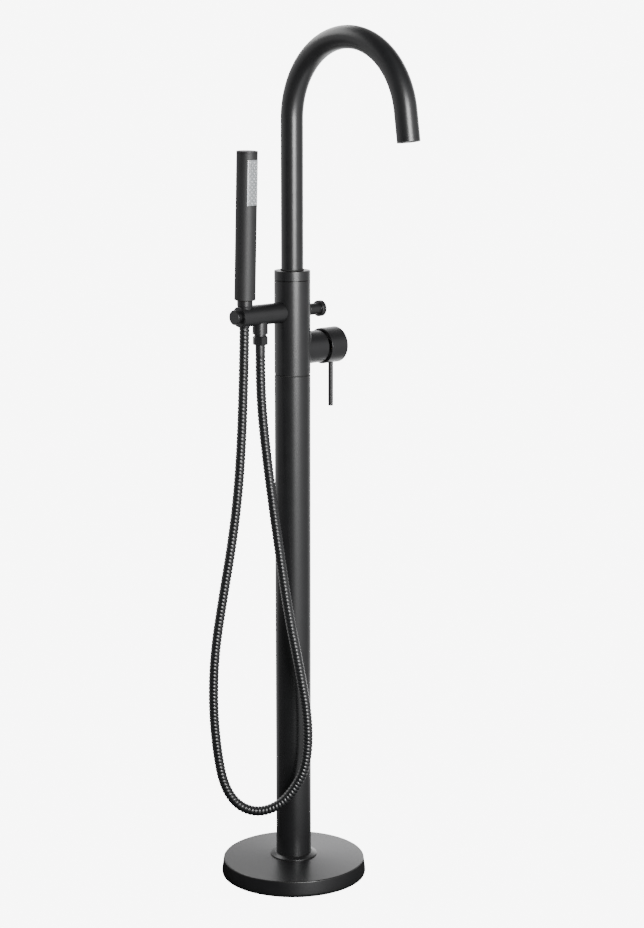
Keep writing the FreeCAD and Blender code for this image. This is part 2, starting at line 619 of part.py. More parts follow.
# ---------------------------------------------------------------- cartridge
def port_holes(prefix, start, length):
    """The hot, cold and mixed holes on the disc side of a cartridge piece."""
    holes = [rod(prefix + "_mixed_hole", "supply_bore", length, (start, "0", "mixer_axis + outlet_rise"),
                 ALONG_X)]
    for name, offset in (("hot", "disc_port_offset"), ("cold", "-disc_port_offset")):
        holes.append(rod(f"{prefix}_{name}_hole", "disc_port", length,
                         (start, offset, "mixer_axis - port_drop"), ALONG_X))
    return holes


BASE_START = "pocket_floor + seal_height"
FIXED_START = BASE_START + " + base_thick"
MOVING_START = FIXED_START + " + disc_thick"
DRIVER_START = MOVING_START + " + disc_thick"
TURRET_START = DRIVER_START + " + driver_thick + run_gap"


def make_cartridge():
    seals = []
    for prefix, across, up in (("mixed", "0", "mixer_axis + outlet_rise"),
                               ("hot", "supply_offset", "mixer_axis - port_drop"),
                               ("cold", "-supply_offset", "mixer_axis - port_drop")):
        seals.append(tube(prefix + "_port_seal", "supply_bore + 1.6", "supply_bore", "0", "seal_height",
                          ("pocket_floor", across, up), ALONG_X))
    keep("cartridge_seals", group("cartridge_seals", *seals))
    base = rod("cartridge_base_blank", "cartridge_radius", "base_thick",
               (BASE_START, "0", "mixer_axis"), ALONG_X)
    inlets = [
        rod(f"base_{name}_inlet", "supply_bore", "base_thick * 0.6",
            (BASE_START, offset, "mixer_axis - port_drop"), ALONG_X)
        for name, offset in SUPPLIES
    ]
    keep("cartridge_base", cut("cartridge_base", base, *inlets,
                               *port_holes("base", BASE_START, "base_thick")))
    disc = rod("fixed_disc_blank", "fixed_disc", "disc_thick", (FIXED_START, "0", "mixer_axis"), ALONG_X)
    keep("fixed_disc", cut("fixed_disc", disc, *port_holes("disc", FIXED_START, "disc_thick")))
    slider = rod("moving_disc_blank", "moving_disc", "disc_thick",
                 (MOVING_START, "0", "mixer_axis"), ALONG_X)
    chamber = rod("mixing_chamber", "chamber_radius", "disc_thick * 0.6",
                  (MOVING_START, "0", "mixer_axis"), ALONG_X)
    keep("moving_disc", cut("moving_disc", slider, chamber))
    driver = rod("driver_blank", "moving_disc", "driver_thick",
                 (DRIVER_START, "0", "mixer_axis"), ALONG_X)
    seat = block("driver_seat", "driver_thick",
                 "spindle_side - 1 + 2 * run_gap", "spindle_side - 1 + 2 * run_gap",
                 (DRIVER_START + " + 1.2", "-(spindle_side - 1) / 2 - run_gap",
                  "mixer_axis - (spindle_side - 1) / 2 - run_gap"))
    keep("disc_driver", cut("disc_driver", driver, seat))
    keep("cartridge_shell", turned("cartridge_shell", [
        ("cartridge_radius - shell_wall", FIXED_START),
        ("cartridge_radius", FIXED_START),
        ("cartridge_radius", "shell_end"),
        ("nut_bore", "shell_end"),
        ("nut_bore", "shell_end - 2.4"),
        ("cartridge_radius - shell_wall", "shell_end - 2.4"),
    ], **MIXER))
    turret = tube("turret_blank", "cartridge_radius - shell_wall - shaft_gap", "1", TURRET_START,
                  "shell_end - 2.4 - run_gap", **MIXER)
    swing = block("turret_slot", "shell_end", "spindle_side + 2 * run_gap", "nut_bore * 2 - 3",
                  (TURRET_START + " - 1", "-spindle_side / 2 - run_gap", "mixer_axis - nut_bore + 1.5"))
    cross = rod("turret_cross_hole", "pivot_radius", "cartridge_radius * 2",
                ("lever_pivot", "cartridge_radius", "mixer_axis"), ALONG_MINUS_Y)
    keep("temperature_turret", cut("temperature_turret", turret, swing, cross))
    keep("lever_pin", rod("lever_pin", "pivot_radius", "(cartridge_radius - shell_wall - 1) * 2",
                          ("lever_pivot", "cartridge_radius - shell_wall - 1", "mixer_axis"), ALONG_MINUS_Y))
    shaft = block("spindle_shaft", "hollow_end + 3 - lever_pivot + 4", "spindle_side", "spindle_side",
                  ("lever_pivot - 4", "-spindle_side / 2", "mixer_axis - spindle_side / 2"))
    tail = block("spindle_tail", "lever_pivot - 4 - (" + DRIVER_START + " + 2)",
                 "spindle_side - 3", "spindle_side - 3",
                 (DRIVER_START + " + 2", "-(spindle_side - 3) / 2", "mixer_axis - (spindle_side - 3) / 2"))
    eye = rod("spindle_eye", "pivot_radius + shaft_gap", "spindle_side",
              ("lever_pivot", "spindle_side / 2", "mixer_axis"), ALONG_MINUS_Y)
    keep("lever_spindle", cut("lever_spindle", fuse("spindle_blank", shaft, tail), eye))
    nut = turned("cartridge_nut", [
        ("nut_bore", "shell_end"),
        ("pocket_radius - fit_gap", "shell_end"),
        ("pocket_radius - fit_gap", "housing_reach - 0.5"),
        ("nut_bore + 1", "housing_reach - 0.5"),
        ("nut_bore", "housing_reach - 1.5"),
    ], **MIXER)
    keep("cartridge_nut", drill_round(nut, "1.2", "nut_bore + 3.2", 6))


# ---------------------------------------------------------------- handle
def make_handle():
    keep("trim_ring", turned("trim_ring", [
        ("nut_bore + 1.6", "housing_reach"),
        ("trim_radius - 0.5", "housing_reach"),
        ("trim_radius", "housing_reach + 0.5"),
        ("trim_radius", "trim_end - 0.4"),
        ("trim_radius - 0.4", "trim_end"),
        ("dome_radius", "trim_end"),
        ("dome_radius - 1.4", "dome_end - 1"),
        ("nut_bore + 2.6", "dome_end"),
        ("nut_bore + 1.6", "dome_end"),
    ], **MIXER))
    cap = turned("handle_blank", [
        ("0", "handle_end"),
        ("handle_radius", "handle_end"),
        ("handle_radius", "handle_start"),
        ("handle_hollow", "handle_start"),
        ("handle_hollow", "hollow_end"),
        ("handle_boss", "hollow_end"),
        ("handle_boss", "boss_start"),
        ("0", "boss_start"),
    ], **MIXER)
    round_rims(cap, "handle_edge", ("handle_radius", "handle_end"))
    round_rims(cap, "0.6", ("handle_radius", "handle_start"))
    broach = block("handle_broach", "hollow_end + 3 - boss_start + 0.2", "spindle_side + 2 * shaft_gap",
                   "spindle_side + 2 * shaft_gap",
                   ("boss_start", "-spindle_side / 2 - shaft_gap",
                    "mixer_axis - spindle_side / 2 - shaft_gap"))
    thread = rod("handle_thread", "pin_thread + fit_gap", "handle_radius - 9.8",
                 ("pin_place", "0", "mixer_axis - handle_radius"))
    seat = rod("handle_pin_seat", "pin_radius + fit_gap", "1.2",
               ("pin_place", "0", "mixer_axis - handle_radius"))
    keep("handle", cut("handle", cap, broach, thread, seat))
    low = "mixer_axis - handle_radius - pin_length"
    top = "mixer_axis - handle_radius"
    pin = turned("pin_lever", [
        ("0", low),
        ("pin_radius", low),
        ("pin_radius", low + " + 3.4"),
        ("pin_radius - 0.35", low + " + 3.6"),
        ("pin_radius - 0.35", low + " + 4.2"),
        ("pin_radius", low + " + 4.4"),
        ("pin_radius", top + " - 4.6"),
        ("pin_radius - 0.35", top + " - 4.4"),
        ("pin_radius - 0.35", top + " - 3.8"),
        ("pin_radius", top + " - 3.6"),
        ("pin_radius", top + " + 1"),
        ("pin_thread", top + " + 1"),
        ("pin_thread", top + " + handle_radius - 10.5"),
        ("0", top + " + handle_radius - 10.5"),
    ], ("pin_place", "0", "0"))
    keep("pin_lever", round_rims(pin, "1", ("pin_radius", low)))


# ---------------------------------------------------------------- cross arm and hose outlet
def make_arm():
    bar = turned("arm_bar", [
        ("0", "-valve_floor + 1"),
        ("arm_thread", "-valve_floor + 1"),
        ("arm_thread", ARM_ROOT),
        ("arm_radius", ARM_ROOT),
        ("arm_radius", "arm_end - arm_edge"),
        ("arm_radius - arm_edge", "arm_end"),
        ("0", "arm_end"),
    ], **ARM)
    stub = rod("outlet_stub_blank", "outlet_radius", "arm_axis - outlet_foot",
               ("-outlet_at", "0", "outlet_foot"))
    nipple = rod("outlet_nipple", "nipple_radius", "arm_axis - nut_top + 7",
                 ("-outlet_at", "0", "nut_top - 7"))
    cone = taper("cradle_taper", "cradle_foot", "cradle_top", "arm_radius * 2",
                 ("-cradle_at", "arm_radius * sin(cradle_lean * 1deg)",
                  "arm_axis - arm_radius * cos(cradle_lean * 1deg)"), SHOWER["turn"])
    above = rod("cradle_clear_top", "cradle_top", "arm_radius",
                ("-cradle_at", "-arm_radius * sin(cradle_lean * 1deg)",
                 "arm_axis + arm_radius * cos(cradle_lean * 1deg)"), SHOWER["turn"])
    below = rod("cradle_clear_foot", "cradle_foot", "arm_radius",
                ("-cradle_at", "2 * arm_radius * sin(cradle_lean * 1deg)",
                 "arm_axis - 2 * arm_radius * cos(cradle_lean * 1deg)"), SHOWER["turn"])
    slot = block("cradle_slot", "slot_width", "arm_radius * 2", "arm_radius * 4",
                 ("-cradle_at - slot_width / 2", "0", "arm_axis - arm_radius * 2"))
    water = rod("arm_waterway", "arm_water", "outlet_at + valve_floor",
                ("valve_floor", "0", "arm_axis"), ALONG_MINUS_X)
    drop = rod("outlet_waterway", "arm_water", "arm_axis - nut_top + 8", ("-outlet_at", "0", "nut_top - 8"))
    solid = fuse("arm_solid", bar, stub, nipple)
    keep("cross_arm", cut("cross_arm", solid, cone, above, below, slot, water, drop))
    knob = turned("arm_end_knob", [
        ("0", "arm_end"),
        ("cap_neck", "arm_end"),
        ("cap_neck", "cap_end - cap_thick"),
        ("cap_radius", "cap_end - cap_thick"),
        ("cap_radius", "cap_end"),
        ("0", "cap_end"),
    ], **ARM)
    round_rims(knob, "1", ("cap_radius", "cap_end"))
    keep("arm_end_knob", round_rims(knob, "0.6", ("cap_radius", "cap_end - cap_thick")))
    top = "nut_top"
    foot = "nut_top - nut_length"
    keep("outlet_washer", tube("outlet_washer", "nipple_radius", "arm_water", top + " - 9", top + " - 7",
                               **OUTLET))
    envelope = turned("outlet_nut_envelope", [
        ("0", foot),
        ("nut_flats / 2", foot),
        ("nut_flats / 2 / cos(30deg)", foot + " + 0.8"),
        ("nut_flats / 2 / cos(30deg)", top + " - 1.6"),
        ("nut_flats / 2 - 0.4", top),
        ("0", top),
    ], **OUTLET)
    blank = hexagon("outlet_nut_hexagon", "nut_flats", "nut_length", ("-outlet_at", "0", foot))
    shaped = common("outlet_nut_shaped", blank, envelope)
    bore = rod("outlet_nut_bore", "nipple_radius + fit_gap", "9.4", ("-outlet_at", "0", top + " - 9.4"))
    throat = rod("outlet_nut_throat", "hose_bore + 1.4 + fit_gap", "nut_length", ("-outlet_at", "0", foot))
    keep("outlet_hose_nut", cut("outlet_hose_nut", shaped, bore, throat))
    sleeve_foot = foot + " - sleeve_length"
    keep("outlet_sleeve", turned("outlet_sleeve", [
        ("hose_bore", sleeve_foot),
        ("sleeve_radius - 0.3", sleeve_foot),
        ("sleeve_radius", sleeve_foot + " + 0.6"),
        ("sleeve_radius", foot + " - 0.6"),
        ("sleeve_radius - 0.5", foot),
        ("hose_bore + 1.4", foot),
        ("hose_bore + 1.4", top + " - 9.4"),
        ("hose_bore", top + " - 9.4"),
    ], **OUTLET))


# ---------------------------------------------------------------- shower hose
def smooth_route(points):
    """Straight runs joined by tangent arcs as large as the runs allow: arcs, lengths and radii."""
    spots = [FreeCAD.Vector(*point) for point in points]
    edges = []
    radii = []
    start = spots[0]
    for before, corner, after in zip(spots, spots[1:], spots[2:]):
        inward = (corner - before).normalize()
        outward = (after - corner).normalize()
        turn = inward.getAngle(outward)
        reach = 0.45 * min((corner - before).Length, (after - corner).Length)
        radii.append(reach / math.tan(turn / 2))
        arc_start = corner - inward * reach
        arc_end = corner + outward * reach
        middle_way = (outward - inward).normalize()
        sagitta = radii[-1] / math.cos(turn / 2) - radii[-1]
        edges.append(Part.LineSegment(start, arc_start).toShape())
        edges.append(Part.Arc(arc_start, corner + middle_way * sagitta, arc_end).toShape())
        start = arc_end
    edges.append(Part.LineSegment(start, spots[-1]).toShape())
    return Part.Wire(edges), radii


def route_frame(edges, distance):
    """The point and direction at a distance along a list of edges."""
    for edge in edges:
        if distance <= edge.Length or edge is edges[-1]:
            break
        distance -= edge.Length
    parameter = edge.getParameterByLength(min(distance, edge.Length))
    return edge.valueAt(parameter), edge.tangentAt(parameter)


def make_hose():
    wire, radii = smooth_route(HOSE_ROUTE)
    print("hose length", round(wire.Length, 1), "tightest arc", round(min(radii), 1))
    steady = FreeCAD.Vector(0.65, 0.76, 0)
    outer, root, bore = number("hose_radius"), number("hose_root"), number("hose_bore")
    count = int(number("rib_count"))
    plain_end = 2 * outer
    pitch = (wire.Length - 2 * plain_end) / count
    stations = [(0.0, root)]
    for rib in range(count):
        low = plain_end + rib * pitch
        stations += [(low + 0.08 * pitch, root), (low + 0.33 * pitch, outer),
                     (low + 0.67 * pitch, outer), (low + 0.92 * pitch, root)]
    stations.append((wire.Length, root))
    rings = []
    holes = []
    for distance, radius in stations:
        spot, ahead = route_frame(wire.OrderedEdges, distance)
        steady = (steady - ahead * steady.dot(ahead)).normalize()
        frame = FreeCAD.Placement(spot, FreeCAD.Rotation(steady, ahead.cross(steady), ahead, "ZXY"))
        for size, store in ((radius, rings), (bore, holes)):
            circle = Part.Wire(Part.Circle(FreeCAD.Vector(), FreeCAD.Vector(0, 0, 1), size).toShape())
            circle.Placement = frame
            store.append(circle)
    ribbed = Part.makeLoft(rings, True, True)
    hollow = Part.makeLoft(holes[::4] + ([] if (len(holes) - 1) % 4 == 0 else [holes[-1]]), True, True)
    hose = doc.addObject("Part::Feature", "shower_hose")
    hose.Shape = ribbed.cut(hollow)
    section = math.pi * (((outer + root) / 2) ** 2 - bore ** 2)
    print("hose volume", round(hose.Shape.Volume), "against", round(section * wire.Length))
    keep("shower_hose", hose)


# ---------------------------------------------------------------- hand shower
def make_hand_shower():
    keep("cone_nut", turned("cone_nut", [
        ("hose_bore", "cone_foot"),
        ("cradle_foot - run_gap", "cone_foot"),
        ("cradle_foot - run_gap", "cone_foot + 0.6"),
        ("cradle_top - 2 * run_gap", "arm_radius"),
        ("cone_radius", "arm_radius + 1.4"),
        ("cone_radius", "shower_foot - 0.6"),
        ("cone_radius - 0.6", "shower_foot - run_gap"),
        ("nipple_radius + shaft_gap", "shower_foot - run_gap"),
        ("nipple_radius + shaft_gap", "shower_foot - 11"),
        ("hose_bore", "shower_foot - 11"),
    ], **SHOWER))
    keep("cone_washer", tube("cone_washer", "nipple_radius", "hose_bore",
                             "shower_foot - 11", "shower_foot - 9.2", **SHOWER))
    keep("shower_inlet", turned("shower_inlet", [
        ("hose_bore", "shower_foot - 9"),
        ("nipple_radius", "shower_foot - 9"),
        ("nipple_radius", "shower_foot"),
        ("shower_radius - shower_wall", "shower_foot"),
        ("shower_radius - shower_wall", "shower_foot + 6"),
        ("water_radius - 1.2", "shower_foot + 6"),
        ("water_radius - 1.2", "shower_foot + 2.4"),
        ("hose_bore", "shower_foot + 2.4"),
    ], **SHOWER))
    keep("flow_limiter", tube("flow_limiter", "water_radius - 1.3", "1.6",
                              "shower_foot + 2.4", "shower_foot + 4.4", **SHOWER))
    case = turned("shower_case", [
        ("shower_radius - shower_wall", "shower_foot"),
        ("shower_radius - 0.9", "shower_foot"),
        ("shower_radius", "shower_foot + 0.9"),
        ("shower_radius", "shower_top - lid_height"),
        ("shower_radius - shower_wall", "shower_top - lid_height"),
    ], **SHOWER)
    window = place(doc.addObject("Part::Box", "face_window"))
    for side, text in (("Length", "face_width"), ("Width", "shower_radius"), ("Height", "face_height")):
        window.setExpression(side, sized(text))
    lean = "cradle_lean * 1deg"
    place(window, (
        "-cradle_at - face_width / 2",
        f"-face_foot * sin({lean}) - (shower_radius + 5) * cos({lean})",
        f"arm_axis + face_foot * cos({lean}) - (shower_radius + 5) * sin({lean})"), SHOWER["turn"])
    keep("shower_case", cut("shower_case_cut", case, window))
    lid = turned("shower_lid", [
        ("0", "shower_top - lid_height - 5"),
        ("shower_radius - shower_wall - fit_gap", "shower_top - lid_height - 5"),
        ("shower_radius - shower_wall - fit_gap", "shower_top - lid_height"),
        ("shower_radius", "shower_top - lid_height"),
        ("shower_radius", "shower_top"),
        ("0", "shower_top"),
    ], **SHOWER)
    keep("shower_lid", round_rims(lid, "0.7", ("shower_radius", "shower_top")))
    wide = tube("face_wide", "shower_radius - 0.2", "shower_radius - face_wall", "face_foot + 0.15",
                "face_foot + face_height - 0.15", **SHOWER)
    frame = block("face_frame", "face_width - 0.3", "shower_radius", "face_height + 2", (
        "-cradle_at - face_width / 2 + 0.15",
        f"-(face_foot - 1) * sin({lean}) - (shower_radius + 5) * cos({lean})",
        f"arm_axis + (face_foot - 1) * cos({lean}) - (shower_radius + 5) * sin({lean})"), SHOWER["turn"])
    plate = common("spray_face_blank", wide, frame)
    jets = []
    drills = []
    spread = (number("face_width") / 2 - number("jet_inset")) / number("shower_radius")
    fan = math.degrees(math.asin(spread))
    for column, (side, shift) in enumerate(((-1, 0.5), (-0.5, 0.0), (0, 0.5), (0.5, 0.0), (1, 0.5))):
        for row in range(8):
            height = f"(face_foot + jet_margin + jet_pitch * ({row} + {shift}))"
            angle = math.radians(side * fan)
            reach = "(shower_radius - face_wall)"
            at = (
                f"-cradle_at + {reach} * {math.sin(angle):.6f}",
                f"-{height} * sin({lean}) - {reach} * {math.cos(angle):.6f} * cos({lean})",
                f"arm_axis + {height} * cos({lean}) - {reach} * {math.cos(angle):.6f} * sin({lean})")
            tilt = FreeCAD.Rotation(FreeCAD.Vector(1, 0, 0), number("cradle_lean"))
            aim = tilt.multVec(FreeCAD.Vector(math.sin(angle), -math.cos(angle), 0))
            out = FreeCAD.Rotation(FreeCAD.Vector(0, 0, 1), aim)
            turn = (out.Axis, str(math.degrees(out.Angle)))
            jets.append(rod(f"jet_{column}_{row}", "jet_radius", "face_wall + jet_height", at, turn))
            drills.append(rod(f"jet_drill_{column}_{row}", "jet_radius", "face_wall + 1", at, turn))
    keep("spray_face", cut("spray_face", plate, *drills))
    keep("spray_jets", group("spray_jets", *jets))
    keep("shower_waterway", turned("shower_waterway", [
        ("water_radius - 1.2", "shower_foot + 6"),
        ("water_radius", "shower_foot + 6"),
        ("water_radius", "face_foot - 6"),
        ("shower_radius - face_wall - 1", "face_foot - 2"),
        ("shower_radius - face_wall - 1", "shower_top - lid_height - 5"),
        ("shower_radius - face_wall - 2.2", "shower_top - lid_height - 5"),
        ("shower_radius - face_wall - 2.2", "face_foot - 1.6"),
        ("water_radius - 1.2", "face_foot - 5.6"),
    ], **SHOWER))


# ---------------------------------------------------------------- diverter
def make_diverter():
    keep("diverter_gland", turned("diverter_gland", [
        ("gland_bore", "gland_start"),
        ("valve_bore - fit_gap", "gland_start"),
        ("valve_bore - fit_gap", "column_radius - 0.2"),
        ("gland_neck", "column_radius - 0.2"),
        ("gland_neck", "gland_end"),
        ("gland_bore", "gland_end"),
    ], **DIVERTER))
    keep("diverter_escutcheon", turned("diverter_escutcheon", [
        ("gland_neck + fit_gap", "column_radius"),
        ("escutcheon_radius", "column_radius"),
        ("escutcheon_radius", "column_radius + 1.6"),
        ("escutcheon_radius - 0.8", "column_radius + 2.6"),
        ("gland_neck + fit_gap", "column_radius + 2.6"),
    ], **DIVERTER))
    keep("diverter_stem", turned("diverter_stem", [
        ("0", "-8"),
        ("2.5", "-8"),
        ("2.5", "-1"),
        ("stem_radius", "-1"),
        ("stem_radius", "knob_flange + 2"),
        ("0", "knob_flange + 2"),
    ], **DIVERTER))
    keep("diverter_valve", turned("diverter_valve", [
        ("2.5 + 0.02", "-6.5"),
        ("valve_bore - 0.6", "-6.5"),
        ("valve_bore - 0.6", "-4.8"),
        ("7.4", "-4.2"),
        ("7.4", "-3.4"),
        ("valve_bore - 0.6", "-2.8"),
        ("valve_bore - 0.6", "-1"),
        ("2.5 + 0.02", "-1"),
    ], **DIVERTER))
    knob = turned("diverter_knob", [
        ("stem_radius", "knob_flange + 2"),
        ("0", "knob_flange + 2"),
        ("0", "knob_end"),
        ("knob_radius", "knob_end"),
        ("knob_radius", "knob_flange"),
        ("knob_sleeve", "knob_flange"),
        ("knob_sleeve", "knob_start + 0.5"),
        ("knob_sleeve - 0.5", "knob_start"),
        ("knob_bore", "knob_start"),
        ("knob_bore", "gland_end + 1"),
        ("stem_radius + 0.02", "gland_end + 1"),
        ("stem_radius + 0.02", "knob_flange + 1.9"),
        ("stem_radius", "knob_flange + 1.9"),
    ], **DIVERTER)
    round_rims(knob, "1.4", ("knob_radius", "knob_end"))
    keep("diverter_knob", round_rims(knob, "0.8", ("knob_radius", "knob_flange")))


# ---------------------------------------------------------------- spout
COLLAR_FOOT = "body_top + shadow_gap"
FLANGE_FOOT = "body_top + neck_height"


def make_spout():
    collar_top = COLLAR_FOOT + " + collar_height"
    collar = turned("spout_collar", [
        ("neck_radius + fit_gap", COLLAR_FOOT),
        ("column_radius", COLLAR_FOOT),
        ("column_radius", collar_top),
        ("spout_radius + run_gap", collar_top),
        ("spout_radius + run_gap", FLANGE_FOOT + " + 3.2"),
        ("neck_radius + fit_gap", FLANGE_FOOT + " + 3.2"),
    ])
    keep("spout_collar", round_rims(collar, "0.5", ("column_radius", collar_top)))
    keep("spout_foot", turned("spout_foot", [
        ("supply_bore * 2", "socket_floor + 1.5"),
        ("socket_radius - shaft_gap", "socket_floor + 1.5"),
        ("socket_radius - shaft_gap", "socket_floor + 6"),
        ("socket_radius - 2", "socket_floor + 6"),
        ("socket_radius - 2", "socket_floor + 8.4"),
        ("socket_radius - shaft_gap", "socket_floor + 8.4"),
        ("socket_radius - shaft_gap", "socket_floor + 14"),
        ("socket_radius - 2", "socket_floor + 14"),
        ("socket_radius - 2", "socket_floor + 16.4"),
        ("socket_radius - shaft_gap", "socket_floor + 16.4"),
        ("socket_radius - shaft_gap", FLANGE_FOOT + " + run_gap"),
        ("spout_flange", FLANGE_FOOT + " + run_gap"),
        ("spout_flange", FLANGE_FOOT + " + 2.4"),
        ("spout_radius - spout_wall - fit_gap", FLANGE_FOOT + " + 2.4"),
        ("spout_radius - spout_wall - fit_gap", FLANGE_FOOT + " + 18"),
        ("supply_bore * 2 + 3", FLANGE_FOOT + " + 18"),
        ("supply_bore * 2", FLANGE_FOOT + " + 14"),
    ]))
    seals = [
        tube(f"spout_seal_{level}", "socket_radius - shaft_gap", "socket_radius - 2",
             f"socket_floor + {level}", f"socket_floor + {level + 2.4}")
        for level in (6, 14)
    ]
    keep("spout_seals", group("spout_seals", *seals))
    tube_foot = FLANGE_FOOT + " + 2.4"

    def swan_neck(prefix, radius, foot, top_end):
        upright = rod(prefix + "_upright", radius, f"spout_rise - ({foot})", ("0", "0", foot))
        bend = doc.addObject("Part::Torus", prefix + "_bend")
        bend.setExpression("Radius1", sized("spout_bend"))
        bend.setExpression("Radius2", sized(radius))
        bend.setExpression("Angle3", sized("spout_turn"))
        place(bend, ("0", "-spout_bend", "spout_rise"), (FreeCAD.Vector(1, 1, 1), "120"))
        mouth_y, mouth_z = (
            "-spout_bend * (1 - cos(spout_turn * 1deg))",
            "spout_rise + spout_bend * sin(spout_turn * 1deg)",
        )
        end = rod(prefix + "_end", radius, top_end, ("0", mouth_y, mouth_z), SPOUT_MOUTH["turn"])
        return fuse(prefix, upright, bend, end)

    outer = swan_neck("spout_outer", "spout_radius", tube_foot, "spout_straight")
    inner = swan_neck("spout_inner", "spout_radius - spout_wall", tube_foot, "spout_straight")
    keep("spout_tube", cut("spout_tube", outer, inner))
    keep("spout_trim", tube("spout_trim", "spout_radius + 0.9", "spout_radius + 0.02",
                            collar_top + " + run_gap", collar_top + " + 1.6"))
    keep("aerator_housing", turned("aerator_housing", [
        ("mesh_radius + fit_gap", "-6"),
        ("spout_radius - spout_wall - fit_gap", "-6"),
        ("spout_radius - spout_wall - fit_gap", "0"),
        ("spout_radius - 0.5", "0"),
        ("spout_radius - 0.5", "aerator_gap"),
        ("spout_radius", "aerator_gap"),
        ("spout_radius", "aerator_height - 0.5"),
        ("spout_radius - 0.5", "aerator_height"),
        ("mesh_radius + 1", "aerator_height"),
        ("mesh_radius + 1", "aerator_height - 1.5"),
        ("mesh_radius + fit_gap", "aerator_height - 1.5"),
    ], **SPOUT_MOUTH))
    insert = turned("aerator_insert", [
        ("0", "-4"),
        ("mesh_radius", "-4"),
        ("mesh_radius", "aerator_height - 2.5"),
        ("mesh_radius - 1.5", "aerator_height - 1.8"),
        ("0", "aerator_height - 1.8"),
    ], **SPOUT_MOUTH)
    drill_round(insert, "1.1", "mesh_radius - 3", 12)
    keep("aerator_insert", drill_round(insert, "1.1", "mesh_radius - 7", 6))


# ---------------------------------------------------------------- checks and export
make_foot()
make_supplies()
make_body()
make_cartridge()
make_handle()
make_arm()
make_hose()
make_hand_shower()
make_diverter()
make_spout()
doc.recompute()

for thing in doc.Objects:
    if {"Invalid", "Error"} & set(thing.State):
        raise RuntimeError(f"{thing.Label} did not build: {thing.State}")
for name, piece in pieces.items():
    if piece.Shape.isNull() or not piece.Shape.isValid() or not piece.Shape.Solids:
        raise RuntimeError(f"{name} is not a valid solid")

os.makedirs("parts", exist_ok=True)
for name, piece in pieces.items():
    piece.Shape.exportStep(os.path.join("parts", name + ".step"))
    print(f"{name:22s} {len(piece.Shape.Solids):3d} solids {piece.Shape.Volume:12.1f} mm3")
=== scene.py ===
"""Floor standing bath filler, finished for a studio picture.

The measured frame holds the working sizes. This add-on models the pieces that show, gives every
piece its finish and sets up the studio. Positions in the code are in millimetres unless a name
ends in _m, and MM turns them into Blender's metres.
"""
import json
import math

import bmesh
import bpy
from mathutils import Matrix, Vector

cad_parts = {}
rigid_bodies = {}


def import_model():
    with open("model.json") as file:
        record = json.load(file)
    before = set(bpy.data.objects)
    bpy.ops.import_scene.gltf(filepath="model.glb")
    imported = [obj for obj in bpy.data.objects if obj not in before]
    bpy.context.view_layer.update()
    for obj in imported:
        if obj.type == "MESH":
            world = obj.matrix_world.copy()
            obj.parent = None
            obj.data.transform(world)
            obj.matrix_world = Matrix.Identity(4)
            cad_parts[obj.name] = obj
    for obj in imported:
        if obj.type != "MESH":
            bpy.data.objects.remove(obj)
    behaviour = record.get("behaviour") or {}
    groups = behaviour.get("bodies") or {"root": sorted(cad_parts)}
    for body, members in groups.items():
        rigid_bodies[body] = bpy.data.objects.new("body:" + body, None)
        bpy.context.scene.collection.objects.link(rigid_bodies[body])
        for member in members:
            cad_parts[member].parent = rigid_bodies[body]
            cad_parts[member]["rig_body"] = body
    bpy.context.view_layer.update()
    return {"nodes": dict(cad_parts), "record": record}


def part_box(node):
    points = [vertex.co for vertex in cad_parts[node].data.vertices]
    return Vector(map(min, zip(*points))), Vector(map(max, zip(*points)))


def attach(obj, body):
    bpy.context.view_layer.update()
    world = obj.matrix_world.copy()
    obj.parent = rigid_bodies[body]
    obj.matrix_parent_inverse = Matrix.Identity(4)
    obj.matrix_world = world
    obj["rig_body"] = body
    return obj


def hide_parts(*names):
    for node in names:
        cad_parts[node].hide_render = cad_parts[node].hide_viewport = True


bl_info = {
    "name": "Floor Standing Bath Filler",
    "version": (1, 0, 0),
    "blender": (4, 5, 0),
    "location": "View3D > Sidebar > Bath Filler",
    "description": "Models and finishes a floor standing bath filler with a hand shower",
    "category": "Object",
}

MM = 0.001

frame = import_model()
SLOT_OF = {entry["node"]: entry["material_slot"] for entry in frame["record"]["subparts"]}
BODY_OF = {name: node["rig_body"] for name, node in frame["nodes"].items()}


# ------------------------------------------------------------------ sizes read from the frame, in mm
def low(node, axis):
    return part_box(node)[0]["xyz".index(axis)] / MM


def high(node, axis):
    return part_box(node)[1]["xyz".index(axis)] / MM


def middle(node, axis):
    return (low(node, axis) + high(node, axis)) / 2


COLUMN_R = high("column_tube", "x")
COLUMN_FOOT, COLUMN_TOP = low("column_tube", "z"), high("column_tube", "z")
COVER_R, COVER_TOP = high("base_cover", "x"), high("base_cover", "z")
RING_R, RING_FOOT, RING_TOP = high("foot_ring", "x"), low("foot_ring", "z"), high("foot_ring", "z")
COLLAR_FOOT, COLLAR_TOP = low("spout_collar", "z"), high("spout_collar", "z")
SPOUT_R, SPOUT_FOOT = high("spout_tube", "x"), low("spout_tube", "z")
TRIM_R = high("spout_trim", "x")
TRIM_FOOT, TRIM_TOP = low("spout_trim", "z"), high("spout_trim", "z")
MIXER_Z = middle("handle", "z")
HANDLE_R = high("handle", "z") - MIXER_Z
HANDLE_NEAR, HANDLE_FAR = low("handle", "x"), high("handle", "x")
PIN_X = middle("pin_lever", "x")
PIN_R, PIN_FOOT = high("pin_lever", "y"), low("pin_lever", "z")
BAND_R, BAND_START, BAND_END = high("trim_ring", "y"), low("trim_ring", "x"), high("trim_ring", "x")
ARM_Z = middle("arm_end_knob", "z")
OUTLET_X = middle("outlet_sleeve", "x")

